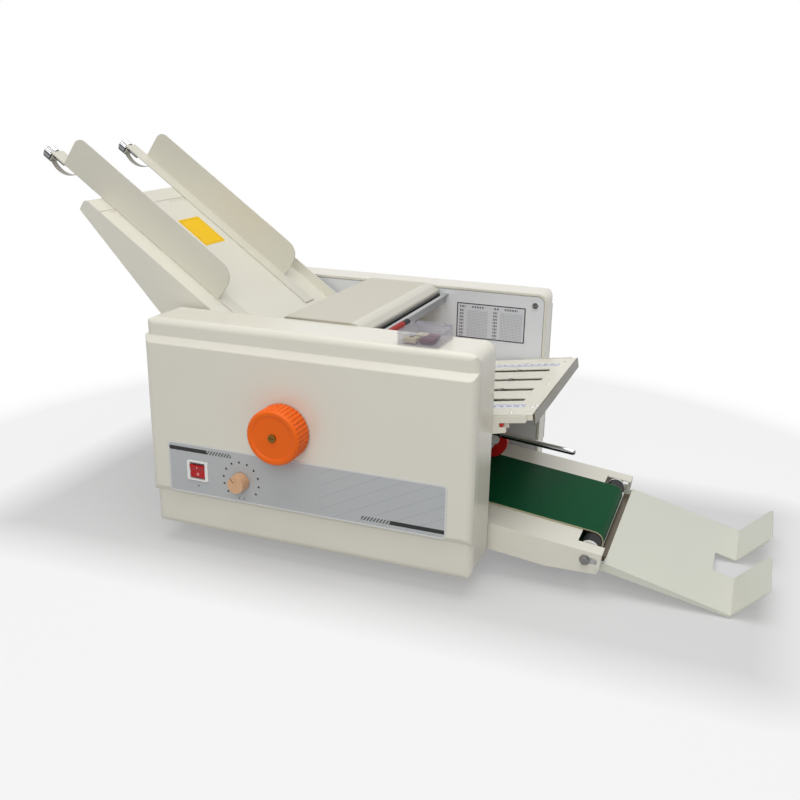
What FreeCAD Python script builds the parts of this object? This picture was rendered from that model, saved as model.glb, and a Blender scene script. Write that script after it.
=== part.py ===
import FreeCAD, Part
import math
import os

# Paper folding machine: two housings either side of a roller gap, an inclined feed table on the left,
# a fold plate and a belt delivery with a folding stacker on the right.
# Layout frame: X to the delivery side, Y to the back, Z up, Z = 0 is the desk.
# Every size is in millimetres and every angle in degrees.

# Housings
foot_height = 24.0
housing_height = 230.0
roller_gap_width = 230.0
front_length = 360.0
front_depth = 60.0
rear_length = 356.0
rear_depth = 52.0
cover_wall = 3.0
cover_edge_radius = 7.0
front_corner_radius = 9.0
rear_corner_radius = 20.0
face_corner_radius = 11.0
panel_raise = 6.0
panel_bottom = 39.0
panel_top = 212.0
panel_slope = 7.0
boss_radius = 5.0
boss_inset = 11.0
screw_radius = 1.6
screw_head_radius = 3.4
screw_head_height = 1.6

# Side plates and base
plate_thickness = 3.0
plate_recess = 0.5
seat_gap = 0.5
soft_gap = 0.3
tray_thickness = 2.0
tray_inset = 18.0
tray_flange = 14.0
foot_radius = 12.0
foot_inset = 15.0
foot_y = 88.0
tie_bar_radius = 6.0
tie_bar_places = [(-155.0, 60.0), (-100.0, 148.0), (100.0, 128.0), (30.0, 50.0)]

# Fold rollers
gear_module = 1.5
roller_teeth = 19
roller_radius = 14.0
roller_sleeve_half = 102.0
roller_end_half = 108.0
shaft_radius = 5.0
running_gap = 0.05
bush_wall = 2.5
bush_flange = 2.0
gear_backlash_share = 0.80
gear_width = 6.0
gear_gap = 2.0
gear_start = 123.0

# Feed roller and its drive
feed_roller_x = 5.0
feed_roller_z = 192.5
feed_roller_radius = 18.0
feed_teeth = 24
idler_teeth = 14
stud_radius = 4.0

# Handwheel and main gear
main_teeth = 66
handwheel_x = -18.0
handwheel_radius = 29.0
handwheel_face_radius = 26.5
handwheel_depth = 24.0
handwheel_gap = 2.0
handwheel_ribs = 40
rib_depth = 0.9
handwheel_taper = 4.0
handwheel_dish = 1.2
wheel_seat = 6.0
wheel_screw_radius = 2.0
wheel_screw_head = 4.2
wheel_screw_grip = 8.0
main_gear_rim = 12.0
main_gear_holes = 5
main_hub_radius = 10.0
main_hub_length = 6.0

# Motor drive
motor_x = -110.0
motor_z = 95.0
motor_radius = 28.0
motor_length = 86.0
cradle_wall = 4.0
cradle_inset = 20.0
cradle_depth = 30.0
motor_pulley_radius = 10.0
roller_pulley_radius = 18.0
delivery_pulley_radius = 12.0
pulley_width = 7.0
belt_thickness = 1.5
belt_gap = 0.3

# Feed table
table_pitch = 35.46
table_foot_x = -57.86
table_foot_z = 195.86
table_length = 285.0
table_half_width = 109.0
sheet = 1.5
table_end_depth = 14.2
table_corner = 5.0
table_taper = 12.4
table_taper_length = 196.0
table_mouth_depth = 22.0
table_lip_height = 12.0
table_seam_place = 22.0
seam_width = 0.8
seam_depth = 0.4
table_stud_places = [(70.0, -22.0), (23.0, -14.0)]
infeed_half_width = 104.0
infeed_end_gap = 19.0
infeed_ear_start = 12.0
infeed_ear_end = 30.0

# Side guides
guide_sheet = 1.2
guide_height = 38.5
guide_flange_width = 20.5
guide_wing_start = -56.0
guide_wing_end = 179.0
guide_strip_start = -77.0
guide_strip_end = 226.0
front_guide_y = -83.0
rear_guide_y = 74.0
guide_clearance = 0.3
thumb_screw_radius = 8.0
thumb_screw_length = 10.0
thumb_screw_drop = 5.0
thumb_shank_radius = 2.0
thumb_shank_length = 16.0
spring_strip = 0.8
spring_width = 8.0
spring_sag = 3.0
spring_end = -40.0

# Top cover
cover_left_x = -48.0
cover_right_x = 32.0
cover_top_z = 256.0
cover_slope_x = 45.0
cover_slope_z = 249.0
cover_half_width = 113.5
cover_skirt = 12.0
cover_pin_radius = 2.5
cover_pin_inset = 5.0
cover_pin_drop = 7.5
cover_seal_depth = 3.0
cover_rest_radius = 3.0
cover_rest_inset = 10.0
bar_gap = 6.5
bar_width = 5.0
bar_depth = 11.0

# Right-hand fold plate, its brackets and stop
plate_pitch = 8.5
plate_nip_x = 42.0
plate_nip_z = 154.6
plate_half_width = 110.0
plate_sheet = 1.0
plate_slit = 4.0
plate_mouth = 21.0
plate_end = 179.0
plate_lip = 11.0
slot_width = 10.0
slot_start = 40.0
slot_end = 158.0
slot_places = [58.0, 20.0, -20.0, -58.0]
bracket_thickness = 2.0
bracket_gap = 0.4
bracket_stud_radius = 3.5
hook_pin_radius = 1.8
hook_pin_place = 147.5
hook_pin_drop = 6.4
stop_place = 120.0
stop_finger = 8.0

# Left-hand fold plate under the feed table
nip_2_pitch = 30.0
left_plate_mouth = 14.0
left_plate_end = 295.0
left_plate_stop = 275.0
left_plate_half_width = 102.0
pad_half_length = 9.0
pad_half_width = 18.0
pad_gap = 0.4
nip_3_pitch = -15.0

# Delivery conveyor
conveyor_pitch = 6.85
conveyor_end_x = 296.0
conveyor_end_z = 47.1
conveyor_half_width = 109.0
conveyor_length = 247.0
conveyor_depth = 29.0
conveyor_kink = 53.0
conveyor_end_depth = 21.8
conveyor_roller_radius = 9.5
conveyor_roller_half = 88.0
ring_width = 3.0
conveyor_shaft_radius = 4.0
end_roller_inset = 15.5
inner_roller_inset = 224.0
belt_half_width = 65.0
conveyor_belt_thickness = 1.2
belt_lift = 0.6
cutout_half_width = 91.0
bolt_radius = 3.0
bolt_head_radius = 4.2
bolt_washer_radius = 5.4

# Stacker
stacker_pitch = 14.05
stacker_start_x = 297.5
stacker_start_z = 34.9
stacker_length = 128.3
stacker_half_width = 100.0
stacker_flange_start = 9.0
stacker_flange_end = 3.0
stacker_notch_length = 23.5
stacker_notch_half = 21.5
ear_pitch = 46.0
ear_length = 47.0
ear_corner = 6.0
stacker_pivot_x = 291.5
stacker_pivot_z = 29.5
stacker_pin_radius = 2.0
stacker_lug_radius = 4.0

# Delivery press wheel and rod
press_x = 135.0
press_wheel_radius = 20.0
press_hub_radius = 6.0
press_wheel_width = 8.0
press_wheel_y = 54.0
press_shaft_radius = 4.0
rod_radius = 3.5
rod_length = 101.0
rod_rise = 13.5
press_rod_y = 43.0
rod_pitch = 5.8
holder_width = 10.0
holder_wall = 3.0
rod_grip = 5.0
hook_length = 13.2
hook_low = 3.3
hook_high = 12.9
hook_thickness = 2.5

# Front controls
label_left = -156.0
label_right = 155.0
label_bottom = 67.7
label_top = 124.0
label_thickness = 0.6
switch_x = -120.5
switch_z = 95.0
bezel_width = 25.0
bezel_height = 22.0
bezel_lip = 1.6
bezel_edge = 1.5
bezel_wall = 2.0
bezel_depth = 11.0
rocker_width = 17.0
rocker_height = 16.0
rocker_tilt = 9.0
rocker_side_gap = 0.5
rocker_swing_gap = 1.2
rocker_pin_radius = 1.2
rocker_pivot_depth = 3.0
rocker_crest = 5.5
rocker_valley = 3.5
panel_hole_gap = 0.2
knob_x = -69.0
knob_z = 91.5
knob_radius = 10.0
knob_height = 12.0
knob_gap = 0.8
knob_shaft_radius = 3.0
knob_flutes = 18
board_y = -160.0
board_thickness = 2.0
board_left = -140.0
board_right = -50.0
board_bottom = 70.0
board_top = 130.0
board_post_radius = 3.0
board_inset = 5.0

# Spares box on the front housing
spares_x = 97.0
spares_y = -165.0
spares_length = 42.0
spares_width = 45.0
spares_height = 10.5
spares_wall = 1.2
lid_height = 2.6
lid_barrel_radius = 2.0
lid_pin_radius = 1.0
lid_pivot_reach = 2.4

# Mains inlet at the back
inlet_x = -120.0
inlet_z = 86.0
inlet_width = 28.0
inlet_height = 20.0
inlet_depth = 18.0
inlet_flange = 2.0

# Places that follow from the sizes above
half_gap = roller_gap_width / 2
housing_bottom = foot_height
housing_top = foot_height + housing_height
front_face_y = -half_gap - front_depth
rear_face_y = half_gap + rear_depth
plate_inner_y = half_gap + plate_recess
plate_outer_y = plate_inner_y + plate_thickness
roller_spacing = gear_module * roller_teeth
floor_top = housing_bottom + cover_wall + seat_gap
tray_length = min(front_length, rear_length) - 2 * tray_inset
foot_x = tray_length / 2 - foot_inset
table_top_x = table_foot_x - table_length * math.cos(math.radians(table_pitch))
table_top_z = table_foot_z + table_length * math.sin(math.radians(table_pitch))
cover_pin_x = cover_slope_x - cover_pin_inset
cover_pin_z = cover_slope_z - cover_pin_drop
shaft_seat_y = front_face_y - handwheel_gap - handwheel_depth + wheel_seat


def vector(x, y, z):
    return FreeCAD.Vector(x, y, z)


def box(x0, x1, y0, y1, z0, z1):
    return Part.makeBox(x1 - x0, y1 - y0, z1 - z0, vector(x0, y0, z0))


def rod_y(x, z, radius, y0, y1):
    return Part.makeCylinder(radius, y1 - y0, vector(x, y0, z), vector(0, 1, 0))


def tube_y(x, z, outer, inner, y0, y1):
    return rod_y(x, z, outer, y0, y1).cut(rod_y(x, z, inner, y0, y1))


def rod_x(y, z, radius, x0, x1):
    return Part.makeCylinder(radius, x1 - x0, vector(x0, y, z), vector(1, 0, 0))


def rod_z(x, y, radius, z0, z1):
    return Part.makeCylinder(radius, z1 - z0, vector(x, y, z0), vector(0, 0, 1))


def joined(shapes):
    whole = shapes[0]
    if len(shapes) > 1:
        whole = shapes[0].multiFuse(shapes[1:])
    return whole.removeSplitter()


def group(shapes):
    return Part.makeCompound(shapes)


def rounded_wire(corners, to_space):
    """corners is a list of (u, v, radius); a corner with a radius becomes a tangent arc."""
    count = len(corners)
    starts = []
    ends = []
    middles = []
    for index in range(count):
        before = corners[index - 1]
        here = corners[index]
        after = corners[(index + 1) % count]
        back = (before[0] - here[0], before[1] - here[1])
        ahead = (after[0] - here[0], after[1] - here[1])
        back_length = math.hypot(*back)
        ahead_length = math.hypot(*ahead)
        back = (back[0] / back_length, back[1] / back_length)
        ahead = (ahead[0] / ahead_length, ahead[1] / ahead_length)
        radius = here[2]
        if radius <= 0:
            starts.append((here[0], here[1]))
            ends.append((here[0], here[1]))
            middles.append(None)
            continue
        between = math.acos(max(-1.0, min(1.0, back[0] * ahead[0] + back[1] * ahead[1])))
        reach = radius / math.tan(between / 2)
        half_way = (back[0] + ahead[0], back[1] + ahead[1])
        half_length = math.hypot(*half_way)
        to_centre = radius / math.sin(between / 2)
        centre = (here[0] + half_way[0] / half_length * to_centre,
                  here[1] + half_way[1] / half_length * to_centre)
        starts.append((here[0] + back[0] * reach, here[1] + back[1] * reach))
        ends.append((here[0] + ahead[0] * reach, here[1] + ahead[1] * reach))
        middles.append((centre[0] - half_way[0] / half_length * radius,
                        centre[1] - half_way[1] / half_length * radius))
    edges = []
    for index in range(count):
        if middles[index]:
            arc = Part.Arc(to_space(*starts[index]), to_space(*middles[index]), to_space(*ends[index]))
            edges.append(arc.toShape())
        following = (index + 1) % count
        start = to_space(*ends[index])
        finish = to_space(*starts[following])
        if start.distanceToPoint(finish) > 1e-6:
            edges.append(Part.LineSegment(start, finish).toShape())
    return Part.Wire(edges)


def with_radius(points, radius):
    return [(point[0], point[1], radius) for point in points]


def prism_y(corners, y0, y1):
    wire = rounded_wire(corners, lambda u, v: vector(u, y0, v))
    return Part.Face(wire).extrude(vector(0, y1 - y0, 0))


def prism_x(corners, x0, x1):
    wire = rounded_wire(corners, lambda u, v: vector(x0, u, v))
    return Part.Face(wire).extrude(vector(x1 - x0, 0, 0))


def prism_z(corners, z0, z1):
    wire = rounded_wire(corners, lambda u, v: vector(u, v, z0))
    return Part.Face(wire).extrude(vector(0, 0, z1 - z0))


def plate_y(x0, x1, z0, z1, radius, y0, y1):
    return prism_y([(x0, z0, radius), (x1, z0, radius), (x1, z1, radius), (x0, z1, radius)], y0, y1)


def incline(shape, pitch, x, z):
    """Turn a shape made along X about Y, so that it falls by pitch towards +X, and move it to x, z."""
    turned = shape.copy()
    turned.rotate(vector(0, 0, 0), vector(0, 1, 0), pitch)
    turned.translate(vector(x, 0, z))
    return turned


def inclined_point(pitch, x, z, along, up):
    angle = math.radians(pitch)
    return (x + along * math.cos(angle) + up * math.sin(angle),
            z - along * math.sin(angle) + up * math.cos(angle))


def mirrored(shape):
    return shape.mirror(vector(0, 0, 0), vector(0, 1, 0))


# Roller places

def on_fold_plate(along, up):
    return inclined_point(-plate_pitch, plate_nip_x, plate_nip_z, along, up)


def roller_places():
    upper = on_fold_plate(0, roller_spacing / 2)
    second = on_fold_plate(0, -roller_spacing / 2)
    lean_2 = math.radians(nip_2_pitch)
    third = (second[0] - roller_spacing * math.sin(lean_2), second[1] - roller_spacing * math.cos(lean_2))
    lean_3 = math.radians(-nip_3_pitch)
    fourth = (third[0] - roller_spacing * math.sin(lean_3), third[1] - roller_spacing * math.cos(lean_3))
    return [upper, second, third, fourth]


rollers = roller_places()
nip_2 = ((rollers[1][0] + rollers[2][0]) / 2, (rollers[1][1] + rollers[2][1]) / 2)
main_reach = gear_module * (main_teeth + roller_teeth) / 2
handwheel_z = rollers[1][1] + math.sqrt(main_reach ** 2 - (rollers[1][0] - handwheel_x) ** 2)


def idler_place():
    """The idler meshes with the upper roller's gear and the feed roller's gear, above both."""
    reach_1 = gear_module * (roller_teeth + idler_teeth) / 2
    reach_2 = gear_module * (feed_teeth + idler_teeth) / 2
    apart_x = feed_roller_x - rollers[0][0]
    apart_z = feed_roller_z - rollers[0][1]
    apart = math.hypot(apart_x, apart_z)
    along = (reach_1 ** 2 - reach_2 ** 2 + apart ** 2) / (2 * apart)
    aside = math.sqrt(reach_1 ** 2 - along ** 2)
    unit = (apart_x / apart, apart_z / apart)
    return (rollers[0][0] + unit[0] * along + unit[1] * aside,
            rollers[0][1] + unit[1] * along - unit[0] * aside)


idler = idler_place()


def on_conveyor(inset, up):
    """Inset runs back from the delivery end, up is square to the conveyor's top."""
    return inclined_point(conveyor_pitch, conveyor_end_x, conveyor_end_z, -inset, up)


conveyor_axis_drop = belt_lift - conveyor_roller_radius - belt_gap
end_roller = on_conveyor(end_roller_inset, conveyor_axis_drop)
inner_roller = on_conveyor(inner_roller_inset, conveyor_axis_drop)


def belt_top_z(x):
    end_x, end_z = on_conveyor(0, belt_lift + conveyor_belt_thickness)
    return end_z + (end_x - x) * math.tan(math.radians(conveyor_pitch))


press_z = belt_top_z(press_x) + (press_wheel_radius + belt_gap) / math.cos(math.radians(conveyor_pitch))


# Housings

def soft_slab(half_length, y_front, y_back, z0, z1, edge, corner, face_corner):
    """A slab whose front edges and upright corners are rounded; its back at y_back stays square."""
    face = plate_y(-half_length, half_length, z0, z1, face_corner, y_front, y_back)
    plan = prism_z([(-half_length, y_back, 0), (-half_length, y_front, corner),
                    (half_length, y_front, corner), (half_length, y_back, 0)], z0, z1)
    side = prism_x([(y_back, z0, 0), (y_front, z0, edge), (y_front, z1, edge), (y_back, z1, 0)],
                   -half_length, half_length)
    return face.common(plan).common(side)


def cover_form(half_length, depth, inset, corner):
    """Outer form of a housing, or its hollow when inset is the wall: body slab plus raised panel."""
    y_back = -half_gap
    y_body = y_back - depth + panel_raise + inset
    y_panel = y_back - depth + inset
    z0 = housing_bottom + inset
    z1 = housing_top - inset
    edge = cover_edge_radius - min(inset, cover_wall)
    body = soft_slab(half_length - inset, y_body, y_back, z0, z1, edge, corner - inset,
                     face_corner_radius - inset)
    low = housing_bottom + panel_bottom + inset
    high = housing_bottom + panel_top - inset
    profile = prism_x([(y_body + panel_raise, low, 0), (y_body, low, 0), (y_panel, low + panel_slope, 2),
                       (y_panel, high - panel_slope, 2), (y_body, high, 0), (y_body + panel_raise, high, 0)],
                      -half_length + inset, half_length - inset)
    plan = prism_z([(-half_length + inset, y_back, 0), (-half_length + inset, y_panel, corner - inset),
                    (half_length - inset, y_panel, corner - inset), (half_length - inset, y_back, 0)],
                   low, high)
    return joined([body, profile.common(plan)])


def boss_places(half_length):
    x = half_length - cover_wall - boss_inset
    return [(-x, housing_bottom + cover_wall + boss_inset), (x, housing_bottom + cover_wall + boss_inset),
            (-x, housing_top - cover_wall - boss_inset), (x, housing_top - cover_wall - boss_inset)]


def cover_shell(half_length, depth, corner):
    outer = cover_form(half_length, depth, 0, corner)
    shell = outer.cut(cover_form(half_length, depth, cover_wall, corner))
    y_inside = -half_gap - depth + panel_raise + cover_wall
    bosses = []
    for x, z in boss_places(half_length):
        boss = rod_y(x, z, boss_radius, y_inside - 1, -plate_outer_y).common(outer)
        bosses.append(boss.cut(rod_y(x, z, screw_radius, y_inside + 12, -half_gap)))
    return joined([shell] + bosses)


def front_cover():
    shell = cover_shell(front_length / 2, front_depth, front_corner_radius)
    y0 = front_face_y - 1
    y1 = front_face_y + cover_wall + 1
    holes = [rod_y(handwheel_x, handwheel_z, shaft_radius + 2, y0, y1),
             rod_y(knob_x, knob_z, knob_shaft_radius + 1, y0, y1),
             switch_hole(y0, y1)]
    for hole in holes:
        shell = shell.cut(hole)
    posts = []
    for x in (board_left + board_inset, board_right - board_inset):
        for z in (board_bottom + board_inset, board_top - board_inset):
            posts.append(rod_y(x, z, board_post_radius, front_face_y + cover_wall - 1, board_y))
    return joined([shell] + posts)


def rear_cover():
    shell = mirrored(cover_shell(rear_length / 2, rear_depth, rear_corner_radius))
    opening = box(inlet_x - inlet_width / 2, inlet_x + inlet_width / 2, rear_face_y - cover_wall - 1,
                  rear_face_y + 1, inlet_z - inlet_height / 2, inlet_z + inlet_height / 2)
    return shell.cut(opening)


def cover_screws(half_length):
    """Screws through the side plate into the cover's bosses, heads on the plate's inner side."""
    screws = []
    for x, z in boss_places(half_length):
        head = rod_y(x, z, screw_head_radius, -plate_inner_y, -plate_inner_y + screw_head_height)
        slot = box(x - 2.4, x + 2.4, -plate_inner_y + screw_head_height - 0.6, -half_gap + 2, z - 0.4, z + 0.4)
        shank = rod_y(x, z, screw_radius - running_gap, -plate_outer_y - 10, -plate_inner_y)
        screws.append(joined([head.cut(slot), shank]))
    return screws


def bearing_places(side):
    """(x, z, shaft radius) of each shaft that runs in a side plate; side is -1 at the front."""
    places = [(x, z, shaft_radius) for x, z in rollers]
    places.append((feed_roller_x, feed_roller_z, shaft_radius))
    places.append((inner_roller[0], inner_roller[1], conveyor_shaft_radius))
    if side < 0:
        places.append((handwheel_x, handwheel_z, shaft_radius))
    else:
        places.append((motor_x, motor_z, shaft_radius))
    return places


def side_plate(half_length, side):
    x = half_length - cover_wall - seat_gap
    z0 = housing_bottom + cover_wall + seat_gap
    z1 = housing_top - cover_wall - seat_gap
    y0 = plate_inner_y
    y1 = plate_outer_y
    plate = plate_y(-x, x, z0, z1, face_corner_radius - cover_wall, y0, y1)
    for place_x, place_z, radius in bearing_places(side):
        plate = plate.cut(rod_y(place_x, place_z, radius + bush_wall, y0, y1))
    for place_x, place_z in boss_places(half_length):
        plate = plate.cut(rod_y(place_x, place_z, screw_radius + 0.3, y0, y1))
    return mirrored(plate) if side < 0 else plate


def bushes(side):
    shapes = []
    for x, z, radius in bearing_places(side):
        sleeve = tube_y(x, z, radius + bush_wall, radius + running_gap, plate_inner_y, plate_outer_y)
        flange = tube_y(x, z, radius + bush_wall + 2, radius + running_gap, plate_outer_y,
                        plate_outer_y + bush_flange)
        shape = joined([sleeve, flange])
        shapes.append(mirrored(shape) if side < 0 else shape)
    return shapes


def base_tray():
    half = tray_length / 2
    z0 = floor_top
    floor = box(-half, half, -plate_inner_y, plate_inner_y, z0, z0 + tray_thickness)
    sides = [floor]
    for y0 in (-plate_inner_y, plate_inner_y - tray_thickness):
        sides.append(box(-half, half, y0, y0 + tray_thickness, z0, z0 + tray_flange))
    tray = joined(sides + [motor_cradle()])
    for x in (-foot_x, foot_x):
        for y in (-foot_y, foot_y):
            tray = tray.cut(rod_z(x, y, 2.5, z0 - 1, z0 + tray_thickness + 1))
    return tray


def rubber_feet():
    feet = []
    for x in (-foot_x, foot_x):
        for y in (-foot_y, foot_y):
            cone = Part.makeCone(foot_radius - 2, foot_radius, floor_top, vector(x, y, 0), vector(0, 0, 1))
            cone = cone.cut(rod_z(x, y, 5.0, -1, 5))
            feet.append(cone)
    return feet


def tie_bars():
    return [rod_y(x, z, tie_bar_radius, -plate_inner_y, plate_inner_y) for x, z in tie_bar_places]


# Gears

def gear_outline(teeth, phase):
    """Straight-flanked teeth with a little less than full height, one tooth centred on phase."""
    pitch_radius = gear_module * teeth / 2
    tip = pitch_radius + 0.8 * gear_module
    root = pitch_radius - 1.1 * gear_module
    step = 2 * math.pi / teeth
    base_half = step * 0.30
    pitch_half = step * 0.25 * gear_backlash_share
    tip_half = step * 0.10
    points = []
    for index in range(teeth):
        middle = phase + index * step
        for angle, radius in ((-base_half, root), (-pitch_half, pitch_radius), (-tip_half, tip),
                              (tip_half, tip), (pitch_half, pitch_radius), (base_half, root)):
            points.append((radius * math.cos(middle + angle), radius * math.sin(middle + angle)))
    return points


def gear(place, teeth, phase, bore, y0, y1):
    points = [(place[0] + u, place[1] + v) for u, v in gear_outline(teeth, phase)]
    body = prism_y(with_radius(points, 0), y0, y1)
    return body.cut(rod_y(place[0], place[1], bore, y0, y1))


def mesh_phase(place, teeth, phase, other_place, other_teeth):
    """Phase of a gear that has a gap where the first gear points a tooth at it."""
    towards = math.atan2(other_place[1] - place[1], other_place[0] - place[0])
    return towards + math.pi - (phase - towards) * teeth / other_teeth + math.pi / other_teeth


handwheel_place = (handwheel_x, handwheel_z)
feed_place = (feed_roller_x, feed_roller_z)
main_phase = 0.0
phase_2 = mesh_phase(handwheel_place, main_teeth, main_phase, rollers[1], roller_teeth)
phase_1 = mesh_phase(rollers[1], roller_teeth, phase_2, rollers[0], roller_teeth)
phase_3 = mesh_phase(rollers[1], roller_teeth, phase_2, rollers[2], roller_teeth)
phase_4 = mesh_phase(rollers[2], roller_teeth, phase_3, rollers[3], roller_teeth)
idler_phase = mesh_phase(rollers[0], roller_teeth, phase_1, idler, idler_teeth)
feed_phase = mesh_phase(idler, idler_teeth, idler_phase, feed_place, feed_teeth)
roller_phases = [phase_1, phase_2, phase_3, phase_4]

# The roller gears run next to the side plate, the main gear one row further out.
row_1_y1 = -gear_start
row_1_y0 = row_1_y1 - gear_width
row_2_y1 = row_1_y0 - gear_gap
row_2_y0 = row_2_y1 - gear_width
shaft_end_gap = 1.0
row_1_end = row_1_y0 - shaft_end_gap / 2
row_2_end = row_2_y0 - shaft_end_gap
rear_shaft_end = plate_outer_y + bush_flange + shaft_end_gap
rear_row_1 = plate_outer_y + bush_flange + 2
rear_row_2 = rear_row_1 + pulley_width + 3


def roller_sleeve(place, radius):
    return tube_y(place[0], place[1], radius, shaft_radius, -roller_sleeve_half, roller_sleeve_half)


def roller_core(place, radius, front_y, rear_y):
    """Shaft with a collar at each end of the sleeve."""
    shapes = [rod_y(place[0], place[1], shaft_radius, front_y, rear_y)]
    for y0, y1 in ((-roller_end_half, -roller_sleeve_half), (roller_sleeve_half, roller_end_half)):
        shapes.append(rod_y(place[0], place[1], radius - 0.5, y0, y1))
    return joined(shapes)


def roller_shaft(index):
    """Fold roller's shaft with its end collars, its gear and, on two of them, a belt pulley."""
    place = rollers[index]
    front_y = row_1_end
    gear_y0 = row_1_y0
    if index == 1:
        front_y = row_2_end
        gear_y0 = row_2_y0
    rear_y = rear_shaft_end
    shapes = []
    if index == 2:
        rear_y = rear_row_1 + pulley_width
        shapes.append(rod_y(place[0], place[1], roller_pulley_radius, rear_row_1, rear_y))
    if index == 3:
        rear_y = rear_row_2 + pulley_width
        shapes.append(rod_y(place[0], place[1], delivery_pulley_radius, rear_row_2, rear_y))
    shapes.append(roller_core(place, roller_radius, front_y, rear_y))
    shapes.append(gear(place, roller_teeth, roller_phases[index], shaft_radius - 1, gear_y0, row_1_y1))
    return joined(shapes)


def feed_shaft():
    core = roller_core(feed_place, feed_roller_radius, row_1_end, rear_shaft_end)
    return joined([core, gear(feed_place, feed_teeth, feed_phase, shaft_radius - 1, row_1_y0, row_1_y1)])


def idler_gear():
    return gear(idler, idler_teeth, idler_phase, stud_radius + running_gap, row_1_y0, row_1_y1)


def idler_stud():
    collar = rod_y(idler[0], idler[1], stud_radius + 3, row_1_y1 + 0.3, -plate_outer_y)
    stud = rod_y(idler[0], idler[1], stud_radius, row_1_end, -plate_outer_y)
    return joined([collar, stud])


def main_gear_shaft():
    """Large gear, its hub and the shaft that the handwheel turns."""
    wheel = gear(handwheel_place, main_teeth, main_phase, shaft_radius - 1, row_2_y0, row_2_y1)
    web = gear_module * main_teeth / 2 - main_gear_rim
    for index in range(main_gear_holes):
        angle = 2 * math.pi * index / main_gear_holes
        x = handwheel_x + web * 0.62 * math.cos(angle)
        z = handwheel_z + web * 0.62 * math.sin(angle)
        wheel = wheel.cut(rod_y(x, z, web * 0.24, row_2_y0, row_2_y1))
    hub = rod_y(handwheel_x, handwheel_z, main_hub_radius, row_2_y0 - main_hub_length, row_2_y0)
    shaft = rod_y(handwheel_x, handwheel_z, shaft_radius, shaft_seat_y, -plate_inner_y)
    hole = rod_y(handwheel_x, handwheel_z, wheel_screw_radius, shaft_seat_y, shaft_seat_y + wheel_screw_grip)
    return joined([wheel, hub, shaft]).cut(hole)


def handwheel():
    y_back = front_face_y - handwheel_gap
    y_front = y_back - handwheel_depth
    points = []
    for index in range(handwheel_ribs):
        for share, radius in ((0.0, handwheel_radius), (0.42, handwheel_radius),
                              (0.55, handwheel_radius - rib_depth), (0.87, handwheel_radius - rib_depth)):
            angle = 2 * math.pi * (index + share) / handwheel_ribs
            points.append((handwheel_x + radius * math.cos(angle), handwheel_z + radius * math.sin(angle)))
    ribbed = prism_y(with_radius(points, 0), y_front, y_back)
    outer = handwheel_radius + 1
    turned = Part.makeCone(handwheel_face_radius, outer, handwheel_taper,
                           vector(handwheel_x, y_front, handwheel_z), vector(0, 1, 0))
    turned = turned.fuse(rod_y(handwheel_x, handwheel_z, outer, y_front + handwheel_taper, y_back))
    wheel = ribbed.common(turned)
    dish = Part.makeCone(handwheel_face_radius - 3, handwheel_face_radius - 5, handwheel_dish,
                         vector(handwheel_x, y_front, handwheel_z), vector(0, 1, 0))
    wheel = wheel.cut(dish)
    wheel = wheel.cut(rod_y(handwheel_x, handwheel_z, shaft_radius, shaft_seat_y, y_back))
    return wheel.cut(rod_y(handwheel_x, handwheel_z, wheel_screw_radius, y_front - 1, y_back))


def handwheel_screw():
    y_face = front_face_y - handwheel_gap - handwheel_depth + handwheel_dish
    head = rod_y(handwheel_x, handwheel_z, wheel_screw_head, y_face - screw_head_height, y_face)
    cross = box(handwheel_x - wheel_screw_head * 0.6, handwheel_x + wheel_screw_head * 0.6, y_face - 2,
                y_face - screw_head_height / 2, handwheel_z - 0.5, handwheel_z + 0.5)
    shank = rod_y(handwheel_x, handwheel_z, wheel_screw_radius - running_gap, y_face,
                  shaft_seat_y + wheel_screw_grip - 1)
    return joined([head.cut(cross), shank])


# Drive at the back

def motor():
    y1 = plate_inner_y
    body = rod_y(motor_x, motor_z, motor_radius, y1 - motor_length, y1)
    nose = rod_y(motor_x, motor_z, motor_radius / 3, y1 - motor_length - 6, y1 - motor_length)
    return joined([body, nose])


def motor_pulley():
    shaft = rod_y(motor_x, motor_z, shaft_radius, plate_inner_y, rear_row_1 + pulley_width)
    rim = rod_y(motor_x, motor_z, motor_pulley_radius, rear_row_1, rear_row_1 + pulley_width)
    return joined([shaft, rim])


def motor_cradle():
    """Cradle on the base tray in which the motor lies."""
    y1 = plate_inner_y - cradle_inset
    y0 = y1 - cradle_depth
    z0 = floor_top + tray_thickness
    reach = motor_radius + cradle_wall
    block = box(motor_x - reach, motor_x + reach, y0, y1, z0 - tray_thickness / 2, motor_z)
    block = block.cut(rod_y(motor_x, motor_z, motor_radius, y0, y1))
    return block.cut(box(motor_x - reach + 2 * cradle_wall, motor_x + reach - 2 * cradle_wall, y0, y1,
                         z0 + cradle_wall, motor_z - motor_radius - cradle_wall))


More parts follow.
